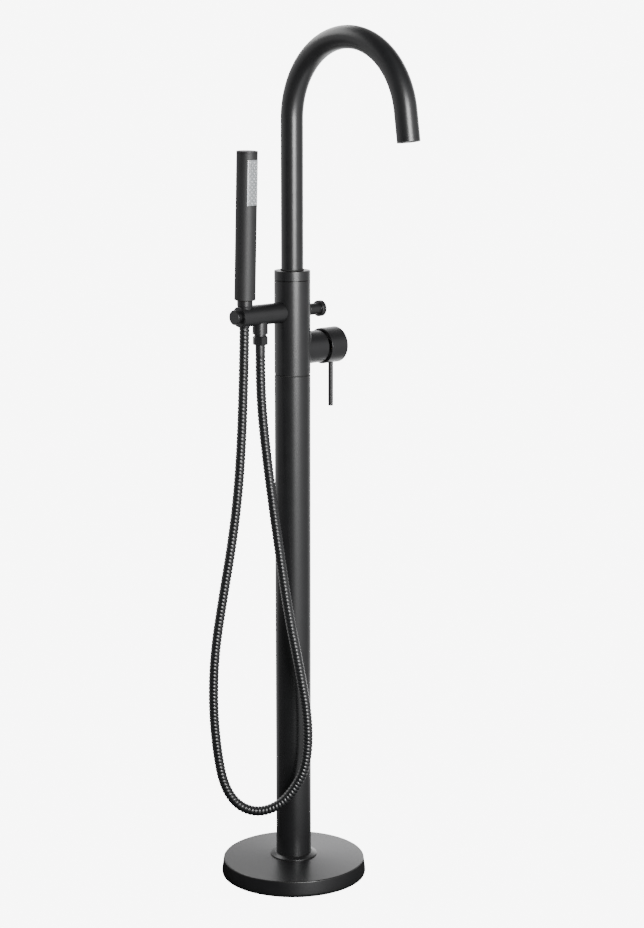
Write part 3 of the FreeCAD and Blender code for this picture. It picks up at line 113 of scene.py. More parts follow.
# Sizes that no box in the frame gives: the cover's rim, the spout's bend (its radius and start in mm,
# its turn in degrees and the straight after it), the cradle's place and its lean in degrees, and the
# hand shower along that lean from the cross arm's axis, with the joint below its lid, its spray face's
# half angle and the width of the face's pale frame in degrees.
COVER_RIM = 22.0
SPOUT_BEND, SPOUT_RISE, SPOUT_TURN, SPOUT_STRAIGHT = 109.6, 1077.0, 171.5, 35.0
CRADLE_X, CRADLE_LEAN = -87.0, 1.9
WAND_R, WAND_FOOT, WAND_TOP = 14.5, 22.5, 222.6
LID_JOINT = WAND_TOP - 3.0
FACE_FOOT, FACE_HEIGHT, FACE_HALF_ANGLE, FRAME_ANGLE = 150.6, 61.0, 37.1, 6.0

# The studio: how bright the ground is to the eye, then what the metal mirrors of the walls and of the
# floor near by, as a brightness at each compass direction in degrees from the spout's side. The floor's
# brightness is painted light, with a painted pool of the key's light on the key's side.
WHITE = 8.0
ROOM_GLOW = (
    (-180, 1.00), (-150, 0.70), (-120, 0.60), (-100, 0.19), (-60, 0.13), (-40, 0.26), (-20, 1.90),
    (6, 1.60), (30, 1.05), (56, 0.60), (70, 0.55), (85, 0.95), (118, 3.00), (133, 3.20), (144, 0.90),
    (180, 1.00),
)
GROUND_PAINTED_LIGHT = (
    (-180, 1.00), (-166, 0.80), (-150, 0.16), (-120, 0.24), (-100, 0.13),
) + tuple(stop for stop in ROOM_GLOW if stop[0] >= -60)

UPRIGHT = Matrix.Identity(4)
MIXER_AXIS = Matrix.Translation((0, 0, MIXER_Z * MM)) @ Matrix.Rotation(math.radians(90), 4, "Y")
DIVERTER_AXIS = Matrix.Translation((0, 0, ARM_Z * MM)) @ Matrix.Rotation(math.radians(90), 4, "Y")
ARM_AXIS = Matrix.Translation((0, 0, ARM_Z * MM)) @ Matrix.Rotation(math.radians(-90), 4, "Y")
PIN_AXIS = Matrix.Translation((PIN_X * MM, 0, 0))
OUTLET_AXIS = Matrix.Translation((OUTLET_X * MM, 0, 0))
WAND_AXIS = (Matrix.Translation((CRADLE_X * MM, 0, ARM_Z * MM))
             @ Matrix.Rotation(math.radians(CRADLE_LEAN), 4, "X"))

# The hose's route: out of the sleeve, past the column's front, round the low bend and up to the cone.
HOSE_ROUTE_M = [
    (-0.0592, 0.0, 0.7582),
    (-0.0592, 0.0, 0.708),
    (-0.0578, -0.0065, 0.642),
    (-0.053, -0.0155, 0.562),
    (-0.0466, -0.0255, 0.477),
    (-0.0394, -0.0348, 0.396),
    (-0.0286, -0.045, 0.318),
    (-0.0192, -0.0532, 0.242),
    (-0.021, -0.0516, 0.178),
    (-0.0344, -0.0398, 0.141),
    (-0.0512, -0.0254, 0.117),
    (-0.074, -0.006, 0.1074),
    (-0.0956, 0.0124, 0.1184),
    (-0.1102, 0.0246, 0.148),
    (-0.1172, 0.0306, 0.198),
    (-0.1212, 0.0338, 0.266),
    (-0.1194, 0.0318, 0.34),
    (-0.1106, 0.0238, 0.418),
    (-0.101, 0.0148, 0.494),
    (-0.0942, 0.0084, 0.566),
    (-0.0902, 0.005, 0.638),
    (-0.0882, 0.0034, 0.7),
    (-0.087, 0.00199, 0.755),
    (-0.087, 0.00046, 0.801),
]


def linear(hex_colour):
    """An sRGB hex value as linear red, green and blue."""
    parts = [int(hex_colour[start:start + 2], 16) / 255 for start in (0, 2, 4)]
    return tuple(part / 12.92 if part <= 0.04045 else ((part + 0.055) / 1.055) ** 2.4 for part in parts)


# ------------------------------------------------------------------ what a user would change
class FillerSizes(bpy.types.PropertyGroup):
    edge_break: bpy.props.FloatProperty(
        name="Edge break", description="Small rounding of a turned edge under the coat",
        default=0.4 * MM, unit="LENGTH")
    joint_gap: bpy.props.FloatProperty(
        name="Joint gap", description="Height of the shadow gap below the mixer body",
        default=1.4 * MM, unit="LENGTH")
    handle_edge: bpy.props.FloatProperty(
        name="Handle edge", description="Rounding of the mixer handle's far edge",
        default=1.6 * MM, unit="LENGTH")
    cover_edge: bpy.props.FloatProperty(
        name="Cover edge", description="Rounding of the foot cover's top edge",
        default=1.4 * MM, unit="LENGTH")
    rib_pitch: bpy.props.FloatProperty(
        name="Rib pitch", description="Distance from one turn of the hose's ribs to the next",
        default=5.2 * MM, unit="LENGTH")
    rib_depth: bpy.props.FloatProperty(
        name="Rib depth", description="Depth of the groove between two turns of the hose",
        default=1.1 * MM, unit="LENGTH")
    hose_radius: bpy.props.FloatProperty(
        name="Hose radius", description="Outer radius of the hose over its ribs",
        default=7.0 * MM, unit="LENGTH")
    jet_pitch: bpy.props.FloatProperty(
        name="Nozzle pitch", description="Distance between two nozzles along the spray face",
        default=7.2 * MM, unit="LENGTH")
    jet_radius: bpy.props.FloatProperty(
        name="Nozzle radius", description="Radius of a spray nozzle at its root",
        default=1.7 * MM, unit="LENGTH")


class FillerColours(bpy.types.PropertyGroup):
    coat: bpy.props.FloatVectorProperty(
        name="Powder coat", description="Satin black of the coated brass and steel",
        default=linear("151516"), subtype="COLOR", size=3, min=0, max=1)
    lacquer: bpy.props.FloatVectorProperty(
        name="Hose lacquer", description="Black lacquer of the hose's metal ribs",
        default=linear("101112"), subtype="COLOR", size=3, min=0, max=1)
    face: bpy.props.FloatVectorProperty(
        name="Spray face", description="Pale grey plastic of the spray face",
        default=linear("d3d4d6"), subtype="COLOR", size=3, min=0, max=1)
    nozzle: bpy.props.FloatVectorProperty(
        name="Nozzles", description="Pale silicone of the spray nozzles",
        default=linear("b4b6b8"), subtype="COLOR", size=3, min=0, max=1)
    mat: bpy.props.FloatVectorProperty(
        name="Nozzle mat", description="Grey silicone between the spray nozzles",
        default=linear("787b7d"), subtype="COLOR", size=3, min=0, max=1)


def sizes():
    return bpy.context.scene.filler_sizes


def colours():
    return bpy.context.scene.filler_colours


# ------------------------------------------------------------------ modelling by hand, in code
def deselect():
    if bpy.context.object and bpy.context.object.mode != "OBJECT":
        bpy.ops.object.mode_set(mode="OBJECT")
    bpy.ops.object.select_all(action="DESELECT")


def take(piece):
    """Makes one piece the only selected one."""
    deselect()
    piece.select_set(True)
    bpy.context.view_layer.objects.active = piece


def pick(piece, kind, wanted):
    """Selects the edges or faces that pass a test, by their corners' places in metres."""
    bpy.ops.mesh.select_mode(type={"edges": "EDGE", "faces": "FACE"}[kind])
    bpy.ops.mesh.select_all(action="DESELECT")
    mesh = bmesh.from_edit_mesh(piece.data)
    for item in getattr(mesh, kind):
        item.select_set(wanted([corner.co for corner in item.verts]))
    mesh.select_flush_mode()
    bmesh.update_edit_mesh(piece.data)


def on_ring(radius, height):
    """A test for edges that lie on one ring round the Z axis."""
    return lambda corners: all(
        abs(corner.xy.length - radius) < 2e-6 and abs(corner.z - height) < 2e-6 for corner in corners)


def drawn_up(name, path, sides):
    """A wall: a ring is drawn at the path's first radius and height, then extruded and resized from
    each to the next. The piece is left in edit mode, with its last ring selected."""
    deselect()
    bpy.ops.mesh.primitive_circle_add(
        vertices=sides, radius=path[0][0] * MM, location=(0, 0, path[0][1] * MM))
    piece = bpy.context.object
    piece.name = name
    bpy.ops.object.transform_apply(location=True, rotation=True, scale=True)
    bpy.ops.object.mode_set(mode="EDIT")
    bpy.ops.mesh.select_mode(type="EDGE")
    bpy.ops.mesh.select_all(action="SELECT")
    for here, there in zip(path, path[1:]):
        bpy.ops.mesh.extrude_edges_move(
            TRANSFORM_OT_translate={"value": (0, 0, (there[1] - here[1]) * MM)})
        widen = there[0] / here[0]
        bpy.ops.transform.resize(value=(widen, widen, 1), center_override=(0, 0, there[1] * MM))
    return piece


def turned(name, section, place=UPRIGHT, sides=96, steps=4):
    """A turned piece, drawn up along its half section. A corner is (radius, height) or (radius,
    height, rounding). A section that starts and ends on the axis is capped, and any other one is
    closed into a tube."""
    corners = [corner for corner in section if corner[0] > 0]
    capped = len(corners) < len(section)
    piece = drawn_up(name, corners if capped else corners + corners[:1], sides)
    bpy.ops.mesh.select_all(action="SELECT")
    if capped:
        bpy.ops.mesh.fill_holes(sides=0)
    else:
        bpy.ops.mesh.remove_doubles(threshold=1e-7)
    bpy.ops.mesh.select_all(action="SELECT")
    bpy.ops.mesh.normals_make_consistent(inside=False)
    for radius, height, *rounding in corners:
        if rounding:
            pick(piece, "edges", on_ring(radius * MM, height * MM))
            bpy.ops.mesh.bevel(offset=rounding[0] * MM, segments=steps, profile=0.5, affect="EDGES")
    bpy.ops.object.mode_set(mode="OBJECT")
    return settle(piece, place)


def groove(radius, start, width, depth, slope=0.2):
    """The corners of a shallow groove round a turned piece, with sloping sides."""
    return [
        (radius, start),
        (radius - depth, start + slope),
        (radius - depth, start + width - slope),
        (radius, start + width),
    ]


def settle(piece, place=UPRIGHT, angle=32):
    """Puts a piece in its place, with its place in its mesh, and shades its curved faces smooth. The
    large faces set the normals, so that a fine bevel doesn't bend the light on a long wall."""
    take(piece)
    piece.matrix_world = place @ piece.matrix_world
    bpy.ops.object.transform_apply(location=True, rotation=True, scale=True)
    bpy.ops.object.shade_smooth_by_angle(angle=math.radians(angle))
    return modify(piece, "WEIGHTED_NORMAL", keep_sharp=True)


def modify(piece, kind, **settings):
    """Adds a modifier with its settings and applies it."""
    take(piece)
    bpy.ops.object.modifier_add(type=kind)
    modifier = piece.modifiers[-1]
    for setting, value in settings.items():
        setattr(modifier, setting, value)
    bpy.ops.object.modifier_apply(modifier=modifier.name)
    return piece


def stand_for(piece, node, finish):
    """Gives a piece its finish and lets it stand for a node of the frame, on that node's body."""
    piece.data.materials.clear()
    piece.data.materials.append(bpy.data.materials[finish])
    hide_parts(node)
    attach(piece, BODY_OF[node])
    return piece


# ------------------------------------------------------------------ finishes
def add_node(tree, kind, inputs=None, **settings):
    """Adds a node with its settings. An input is a value, or another node's output to link from."""
    made = tree.nodes.new("ShaderNode" + kind)
    for setting, value in settings.items():
        setattr(made, setting, value)
    for name, value in (inputs or {}).items():
        if isinstance(value, bpy.types.NodeSocket):
            tree.links.new(value, made.inputs[name])
        else:
            made.inputs[name].default_value = value
    return made


def shade(colour, factor):
    """A colour made lighter or darker, with full alpha."""
    return tuple(min(part * factor, 1.0) for part in colour) + (1.0,)


def new_finish(name, **plain):
    """A material with its shader and the coordinates that its patterns read."""
    material = bpy.data.materials.new(name)
    material.use_nodes = True
    tree = material.node_tree
    shader = tree.nodes["Principled BSDF"]
    for socket, value in plain.items():
        shader.inputs[socket.replace("_", " ")].default_value = value
    places = add_node(tree, "TexCoord").outputs["Object"]
    return tree, shader, places


def satin_black(name, colour, roughness):
    """Polyester powder baked onto brass and steel, or its matching paint on moulded ABS, which is
    duller. The powder melts into a satin skin with a fine orange peel: soft, wide highlights with an
    even, slightly grainy look close up. The real grain of about 0.3 mm can't show in the picture, so
    it is drawn at 1.6 mm and kept very shallow."""
    tree, shader, places = new_finish(name, IOR=1.5)
    cloud = add_node(tree, "TexNoise", {"Vector": places, "Scale": 1 / (22.2 * MM), "Detail": 3.0})
    tone = add_node(tree, "ValToRGB", {"Fac": cloud.outputs["Fac"]})
    tone.color_ramp.elements[0].color = shade(colour, 0.88)
    tone.color_ramp.elements[0].position = 0.3
    tone.color_ramp.elements[1].color = shade(colour, 1.14)
    tone.color_ramp.elements[1].position = 0.7
    tree.links.new(tone.outputs["Color"], shader.inputs["Base Color"])
    peel = add_node(tree, "TexNoise", {"Vector": places, "Scale": 1 / (1.6 * MM), "Detail": 2.0})
    sheen = add_node(tree, "MapRange", {
        "Value": peel.outputs["Fac"], "From Min": 0.25, "From Max": 0.75,
        "To Min": roughness - 0.03, "To Max": roughness + 0.03})
    tree.links.new(sheen.outputs["Result"], shader.inputs["Roughness"])
    bump = add_node(tree, "Bump", {
        "Height": peel.outputs["Fac"], "Strength": 0.12, "Distance": 0.04 * MM})
    tree.links.new(bump.outputs["Normal"], shader.inputs["Normal"])


def lacquered_steel(name, colour):
    """Rolled steel strip, wound into a hose and lacquered black. The thin lacquer stays glossy, so
    each rib catches its own small highlight, and it is duller where it has been handled."""
    tree, shader, places = new_finish(name, IOR=1.52, Coat_Weight=0.2, Coat_Roughness=0.2)
    shader.inputs["Base Color"].default_value = shade(colour, 1.0)
    wear = add_node(tree, "TexNoise", {"Vector": places, "Scale": 1 / (33.3 * MM), "Detail": 4.0})
    dull = add_node(tree, "MapRange", {
        "Value": wear.outputs["Fac"], "From Min": 0.3, "From Max": 0.7, "To Min": 0.3, "To Max": 0.38})
    tree.links.new(dull.outputs["Result"], shader.inputs["Roughness"])


def moulded_face(name, colour):
    """Injection moulded ABS with a fine spark texture: pale, with a broad dull highlight. The spark
    marks of about 0.1 mm are drawn at 0.8 mm."""
    tree, shader, places = new_finish(name, IOR=1.53, Roughness=0.38, Subsurface_Weight=0.05)
    flow = add_node(tree, "TexNoise", {"Vector": places, "Scale": 1 / (8.33 * MM), "Detail": 2.0})
    tone = add_node(tree, "ValToRGB", {"Fac": flow.outputs["Fac"]})
    tone.color_ramp.elements[0].color = shade(colour, 0.95)
    tone.color_ramp.elements[1].color = shade(colour, 1.02)
    tree.links.new(tone.outputs["Color"], shader.inputs["Base Color"])
    grain = add_node(tree, "TexNoise", {"Vector": places, "Scale": 1 / (0.8 * MM), "Detail": 1.0})
    bump = add_node(tree, "Bump", {
        "Height": grain.outputs["Fac"], "Strength": 0.2, "Distance": 0.03 * MM})
    tree.links.new(bump.outputs["Normal"], shader.inputs["Normal"])


def silicone(name, colour):
    """Soft moulded silicone: it lets a little light in, and its skin is dull."""
    tree, shader, places = new_finish(
        name, IOR=1.41, Roughness=0.45, Subsurface_Weight=0.15, Subsurface_Scale=1.0 * MM,
        Subsurface_Radius=(1.0, 0.9, 0.9))
    cloud = add_node(tree, "TexNoise", {"Vector": places, "Scale": 1 / (2.5 * MM), "Detail": 1.0})
    tone = add_node(tree, "ValToRGB", {"Fac": cloud.outputs["Fac"]})
    tone.color_ramp.elements[0].color = shade(colour, 0.8)
    tone.color_ramp.elements[1].color = shade(colour, 1.2)
    tree.links.new(tone.outputs["Color"], shader.inputs["Base Color"])


def black_rubber(name, colour):
    """Moulded EPDM: deep black, with hardly any shine."""
    tree, shader, places = new_finish(name, IOR=1.5)
    shader.inputs["Base Color"].default_value = shade(colour, 1.0)
    bloom = add_node(tree, "TexNoise", {"Vector": places, "Scale": 1 / (4.0 * MM), "Detail": 3.0})
    dull = add_node(tree, "MapRange", {
        "Value": bloom.outputs["Fac"], "From Min": 0.3, "From Max": 0.7, "To Min": 0.62, "To Max": 0.78})
    tree.links.new(dull.outputs["Result"], shader.inputs["Roughness"])


def turned_metal(name, colour, roughness, groove_mm):
    """Bare metal from the lathe or the mill: fine tool marks, drawn at groove_mm so that they show,
    streak its shine."""
    tree, shader, places = new_finish(name, Metallic=1.0)
    stretch = add_node(tree, "Mapping", {"Vector": places, "Scale": (1.0, 1.0, 12.0)})
    marks = add_node(tree, "TexNoise", {
        "Vector": stretch.outputs["Vector"], "Scale": 1 / (12 * groove_mm * MM), "Detail": 4.0})
    tone = add_node(tree, "ValToRGB", {"Fac": marks.outputs["Fac"]})
    tone.color_ramp.elements[0].color = shade(colour, 0.85)
    tone.color_ramp.elements[1].color = shade(colour, 1.1)
    tree.links.new(tone.outputs["Color"], shader.inputs["Base Color"])
    streak = add_node(tree, "MapRange", {
        "Value": marks.outputs["Fac"], "From Min": 0.3, "From Max": 0.7,
        "To Min": roughness - 0.06, "To Max": roughness + 0.08})
    tree.links.new(streak.outputs["Result"], shader.inputs["Roughness"])


def braided_steel(name, colour):
    """Stainless wire, braided over a rubber tube. Strands of 0.25 mm are drawn as 1.5 mm plaits."""
    tree, shader, places = new_finish(name, Metallic=1.0, Roughness=0.35)
    weave = add_node(tree, "TexWave", {"Vector": places, "Scale": 1 / (4.5 * MM), "Distortion": 2.0},
                     wave_type="BANDS", bands_direction="DIAGONAL")
    tone = add_node(tree, "ValToRGB", {"Fac": weave.outputs["Fac"]})
    tone.color_ramp.elements[0].color = shade(colour, 0.4)
    tone.color_ramp.elements[1].color = shade(colour, 1.1)
    tree.links.new(tone.outputs["Color"], shader.inputs["Base Color"])
    bump = add_node(tree, "Bump", {
        "Height": weave.outputs["Fac"], "Strength": 0.5, "Distance": 0.3 * MM})
    tree.links.new(bump.outputs["Normal"], shader.inputs["Normal"])


def white_plastic(name, colour, roughness):
    """Moulded acetal or fired alumina: even and off white, with a faint cloudiness."""
    tree, shader, places = new_finish(name, IOR=1.48, Roughness=roughness, Subsurface_Weight=0.1)
    cloud = add_node(tree, "TexNoise", {"Vector": places, "Scale": 1 / (5.55 * MM), "Detail": 2.0})
    tone = add_node(tree, "ValToRGB", {"Fac": cloud.outputs["Fac"]})
    tone.color_ramp.elements[0].color = shade(colour, 0.94)
    tone.color_ramp.elements[1].color = shade(colour, 1.0)
    tree.links.new(tone.outputs["Color"], shader.inputs["Base Color"])


FINISH_OF_SLOT = {
    "black_coat": "powder_coated_brass",
    "black_polish": "lacquered_steel",
    "black_plastic": "satin_black_abs",
    "face_plastic": "moulded_abs",
    "jet_rubber": "silicone_rubber",
    "seal_rubber": "epdm_rubber",
    "brass": "turned_brass",
    "steel": "milled_stainless_steel",
    "hose_braid": "braided_stainless_steel",
    "white_plastic": "moulded_acetal",
    "ceramic": "ground_alumina",
}


class FILLER_OT_finishes(bpy.types.Operator):
    """Makes the finishes and gives each node of the frame its own"""
    bl_idname = "filler.finishes"
    bl_label = "Finishes"

    def execute(self, context):
        paint = colours()
        satin_black("powder_coated_brass", paint.coat, 0.33)
        satin_black("powder_coated_steel", paint.coat, 0.33)
        satin_black("satin_black_abs", paint.coat, 0.57)
        lacquered_steel("lacquered_steel", paint.lacquer)
        moulded_face("moulded_abs", paint.face)
        silicone("silicone_rubber", paint.nozzle)
        silicone("silicone_mat", paint.mat)
        black_rubber("epdm_rubber", linear("0b0b0b"))
        turned_metal("turned_brass", linear("c9a868"), 0.28, 0.4)
        turned_metal("milled_stainless_steel", linear("b4b6b8"), 0.34, 0.6)
        braided_steel("braided_stainless_steel", linear("b0b2b4"))
        white_plastic("moulded_acetal", linear("e4e4e1"), 0.42)
        white_plastic("ground_alumina", linear("efece6"), 0.2)
        for name, node in frame["nodes"].items():
            node.data.materials.clear()
            node.data.materials.append(bpy.data.materials[FINISH_OF_SLOT[SLOT_OF[name]]])
        return {"FINISHED"}


# ------------------------------------------------------------------ pieces
class FILLER_OT_foot(bpy.types.Operator):
    """Models the foot cover, with its wall leaning in and its top edge rounded, and the ring on it"""
    bl_idname = "filler.foot"
    bl_label = "Foot"

    def execute(self, context):
        wall, lean = 2.0, 2.7
        top_r, cover_bore = COVER_R - lean, COLUMN_R + 0.2
        cover = turned("foot_cover", [
            (COVER_R - wall, 0.0),
            (COVER_R - 0.8, 0.0),
            (COVER_R, 2.5, 1.8),
            (top_r, COVER_RIM, sizes().cover_edge / MM),
            (cover_bore, COVER_TOP),
            (cover_bore, COVER_TOP - wall),
            (top_r - wall, COVER_RIM - wall),
        ], sides=192, steps=5)
        stand_for(cover, "base_cover", "powder_coated_steel")
        ring_bore, lift = COLUMN_R + 0.15, 0.02
        ring = turned("foot_flange", [
            (ring_bore, COVER_TOP + lift),
            (RING_R, RING_FOOT + lift),
            (RING_R, RING_FOOT + 1.5, 0.5),
            (COLUMN_R + 1.8, RING_TOP, 0.6),
            (ring_bore, RING_TOP),
        ], sides=144)
        stand_for(ring, "foot_ring", "powder_coated_brass")
        return {"FINISHED"}


class FILLER_OT_column(bpy.types.Operator):
    """Models the column's tube, with the back wall of the shadow gap at the joint below the mixer given
    the black rubber finish as painted shade
    """
    bl_idname = "filler.column"
    bl_label = "Column"

    def execute(self, context):
        gap = sizes().joint_gap / MM
        bore, gap_back_r = COLUMN_R - 2.0, COLUMN_R - 1.5
        tube = turned("column_sleeve", [
            (bore, COLUMN_FOOT),
            (COLUMN_R, COLUMN_FOOT),
            (COLUMN_R, COLUMN_TOP - gap, 0.5),
            (gap_back_r, COLUMN_TOP - gap),
            (gap_back_r, COLUMN_TOP),
            (bore, COLUMN_TOP),
        ], sides=128)
        stand_for(tube, "column_tube", "powder_coated_steel")
        # Painted shade: the gap's back wall takes the black rubber finish, a dark sheet that makes the
        # gap read dark.
        tube.data.materials.append(bpy.data.materials["epdm_rubber"])
        for polygon in tube.data.polygons:
            if polygon.center.z > (COLUMN_TOP - gap + 0.1) * MM and polygon.normal.z < 0.5:
                polygon.material_index = 1
        return {"FINISHED"}


class FILLER_OT_spout(bpy.types.Operator):
    """Models the collar, the bent spout tube, its trim and the outlet ring"""
    bl_idname = "filler.spout"
    bl_label = "Spout"

    def execute(self, context):
        edge = sizes().edge_break / MM
        bore, neck_bore, ledge = COLUMN_R - 3.9, SPOUT_R + 0.3, COLLAR_TOP - 3.8
        collar = turned("collar_ring", [
            (bore, COLLAR_FOOT),
            (COLUMN_R, COLLAR_FOOT, edge),
            (COLUMN_R, COLLAR_TOP, 3 * edge),
            (neck_bore, COLLAR_TOP, 0.3),
            (neck_bore, ledge),
            (bore, ledge),
        ], sides=128)
        stand_for(collar, "spout_collar", "powder_coated_brass")
        trim_bore = SPOUT_R + 0.02
        trim = turned("neck_trim", [
            (trim_bore, TRIM_FOOT),
            (TRIM_R, TRIM_FOOT),
            (TRIM_R, TRIM_TOP, 0.4),
            (trim_bore, TRIM_TOP),
        ], sides=96)
        stand_for(trim, "spout_trim", "epdm_rubber")
        stand_for(self.swan_neck(), "spout_tube", "powder_coated_brass")
        outlet_r, rim, recess = 11.7, 5.4, 3.9
        plug_r, plug_end = SPOUT_R - 1.7, -6.0
        gap_r, gap = SPOUT_R - 0.5, 0.4
        ring = turned("outlet_ring", [
            (outlet_r, plug_end),
            (plug_r, plug_end),
            (plug_r, 0.0),
            (gap_r, 0.0),
            (gap_r, gap),
            (SPOUT_R, gap),
            (SPOUT_R, rim, 0.5),
            (outlet_r + 1.1, rim, 0.4),
            (outlet_r + 0.9, recess),
            (outlet_r, recess),
        ], place=self.mouth(), sides=96)
        stand_for(ring, "aerator_housing", "powder_coated_brass")
        return {"FINISHED"}

    def mouth(self):
        """The frame of the spout's outlet: its Z axis leaves the tube."""
        turn = math.radians(SPOUT_TURN)
        centre = Vector((
            0,
            -(SPOUT_BEND * (1 - math.cos(turn)) + SPOUT_STRAIGHT * math.sin(turn)),
            SPOUT_RISE + SPOUT_BEND * math.sin(turn) + SPOUT_STRAIGHT * math.cos(turn),
        ))
        return Matrix.Translation(centre * MM) @ Matrix.Rotation(turn, 4, "X")

    def swan_neck(self):
        """A ring, drawn up the straight, spun round the bend and extruded along the outlet."""
        neck = drawn_up("swan_neck", [(SPOUT_R, SPOUT_FOOT), (SPOUT_R, SPOUT_RISE)], 96)
        bpy.ops.mesh.spin(
            steps=72, angle=math.radians(SPOUT_TURN), axis=(-1, 0, 0),
            center=(0, -SPOUT_BEND * MM, SPOUT_RISE * MM))
        mouth = self.mouth()
        ahead = (mouth.to_3x3() @ Vector((0, 0, 1))) * SPOUT_STRAIGHT * MM
        bpy.ops.mesh.extrude_edges_move(TRANSFORM_OT_translate={"value": ahead})
        bpy.ops.mesh.select_all(action="SELECT")
        bpy.ops.mesh.remove_doubles(threshold=1e-7)
        bpy.ops.mesh.normals_make_consistent(inside=False)
        bpy.ops.object.mode_set(mode="OBJECT")
        modify(neck, "SOLIDIFY", thickness=1.6 * MM, offset=-1.0)
        return settle(neck)


class FILLER_OT_handle(bpy.types.Operator):
    """Models the mixer's handle, its pin lever and the trim band behind it"""
    bl_idname = "filler.handle"
    bl_label = "Handle"

    def execute(self, context):
        edge = sizes().edge_break / MM
        hollow_r, hollow_end = 22.0, 67.0
        boss_r, boss_end = 7.5, 58.5
        cap = turned("lever_cap", [
            (0, HANDLE_FAR),
            (HANDLE_R, HANDLE_FAR, sizes().handle_edge / MM),
            (HANDLE_R, HANDLE_NEAR, 0.6),
            (hollow_r, HANDLE_NEAR, 0.5),
            (hollow_r, hollow_end),
            (boss_r, hollow_end),
            (boss_r, boss_end),
            (0, boss_end),
        ], place=MIXER_AXIS, sides=128, steps=5)
        stand_for(cap, "handle", "powder_coated_brass")
        under_handle = MIXER_Z - HANDLE_R
        seat, tenon_r, tenon_top = under_handle + 0.9, 2.5, under_handle + 14.0
        groove_width, groove_depth = 1.0, 0.35
        pin = turned("lever_rod", [
            (0, PIN_FOOT),
            (PIN_R, PIN_FOOT, 0.9),
            *groove(PIN_R, PIN_FOOT + 3.4, groove_width, groove_depth),
            *groove(PIN_R, under_handle - 4.6, groove_width, groove_depth),
            (PIN_R, seat),
            (tenon_r, seat),
            (tenon_r, tenon_top),
            (0, tenon_top),
        ], place=PIN_AXIS, sides=48)
        stand_for(pin, "pin_lever", "powder_coated_brass")
        bore, rim_end = 14.0, BAND_START + 3.6
        neck_foot_r, neck_r = 20.2, 18.8
        band = turned("cap_band", [
            (bore, BAND_START),
            (BAND_R, BAND_START, edge),
            (BAND_R, rim_end, edge),
            (neck_foot_r, rim_end),
            (neck_r, BAND_END - 1.0, 0.6),
            (bore + 1.0, BAND_END),
            (bore, BAND_END),
        ], place=MIXER_AXIS, sides=128)
        stand_for(band, "trim_ring", "powder_coated_brass")
        return {"FINISHED"}


class FILLER_OT_diverter(bpy.types.Operator):
    """Models the diverter's pull knob and the ring where it leaves the body"""
    bl_idname = "filler.diverter"
    bl_label = "Diverter"

    def execute(self, context):
        near, far = low("diverter_knob", "x"), high("diverter_knob", "x")
        head_r, head_back = 11.2, far - 8.0
        neck_r, stem_r, stem_end = 8.1, 6.8, 41.0
        knob = turned("pull_knob", [
            (0, far),
            (head_r, far, 1.4),
            (head_r, head_back, 0.9),
            (neck_r, head_back, 0.5),
            (neck_r, near, 0.5),
            (stem_r, near),
            (stem_r, stem_end),
            (0, stem_end),
        ], place=DIVERTER_AXIS, sides=80, steps=5)
        stand_for(knob, "diverter_knob", "powder_coated_brass")
        start = low("diverter_escutcheon", "x")
        bore, ring_r, ring_end = 6.5, 9.6, start + 2.6
        ring = turned("knob_ring", [
            (bore, start),
            (ring_r, start),
            (ring_r, ring_end - 1.0, 0.3),
            (ring_r - 0.8, ring_end, 0.3),
            (bore, ring_end),
        ], place=DIVERTER_AXIS, sides=80)
        stand_for(ring, "diverter_escutcheon", "epdm_rubber")
        return {"FINISHED"}


class FILLER_OT_arm(bpy.types.Operator):
    """Models the button on the cross arm's end and the sleeve of the hose below the arm"""
    bl_idname = "filler.arm"
    bl_label = "Cross arm"

    def execute(self, context):
        near, far = -high("arm_end_knob", "x"), -low("arm_end_knob", "x")
        neck_r, head_r, head_back = 7.6, 10.2, far - 2.6
        button = turned("arm_button", [
            (0, near),
            (neck_r, near),
            (neck_r, head_back),
            (head_r, head_back, 0.6),
            (head_r, far, 0.9),
            (0, far),
        ], place=ARM_AXIS, sides=80)
        stand_for(button, "arm_end_knob", "powder_coated_brass")
        foot, top = low("outlet_sleeve", "z"), high("outlet_sleeve", "z")
        bore, sleeve_r = 4.0, 6.8
        spigot_r, shoulder = 5.4, top - 2.6
        sleeve = turned("hose_ferrule", [
            (bore, foot),
            (sleeve_r, foot, 0.5),
            *groove(sleeve_r, foot + 2.2, width=1.4, depth=0.25),
            (sleeve_r, shoulder, 0.5),
            (spigot_r, shoulder),
            (spigot_r, top),
            (bore, top),
        ], place=OUTLET_AXIS, sides=64)
        stand_for(sleeve, "outlet_sleeve", "powder_coated_brass")
        return {"FINISHED"}


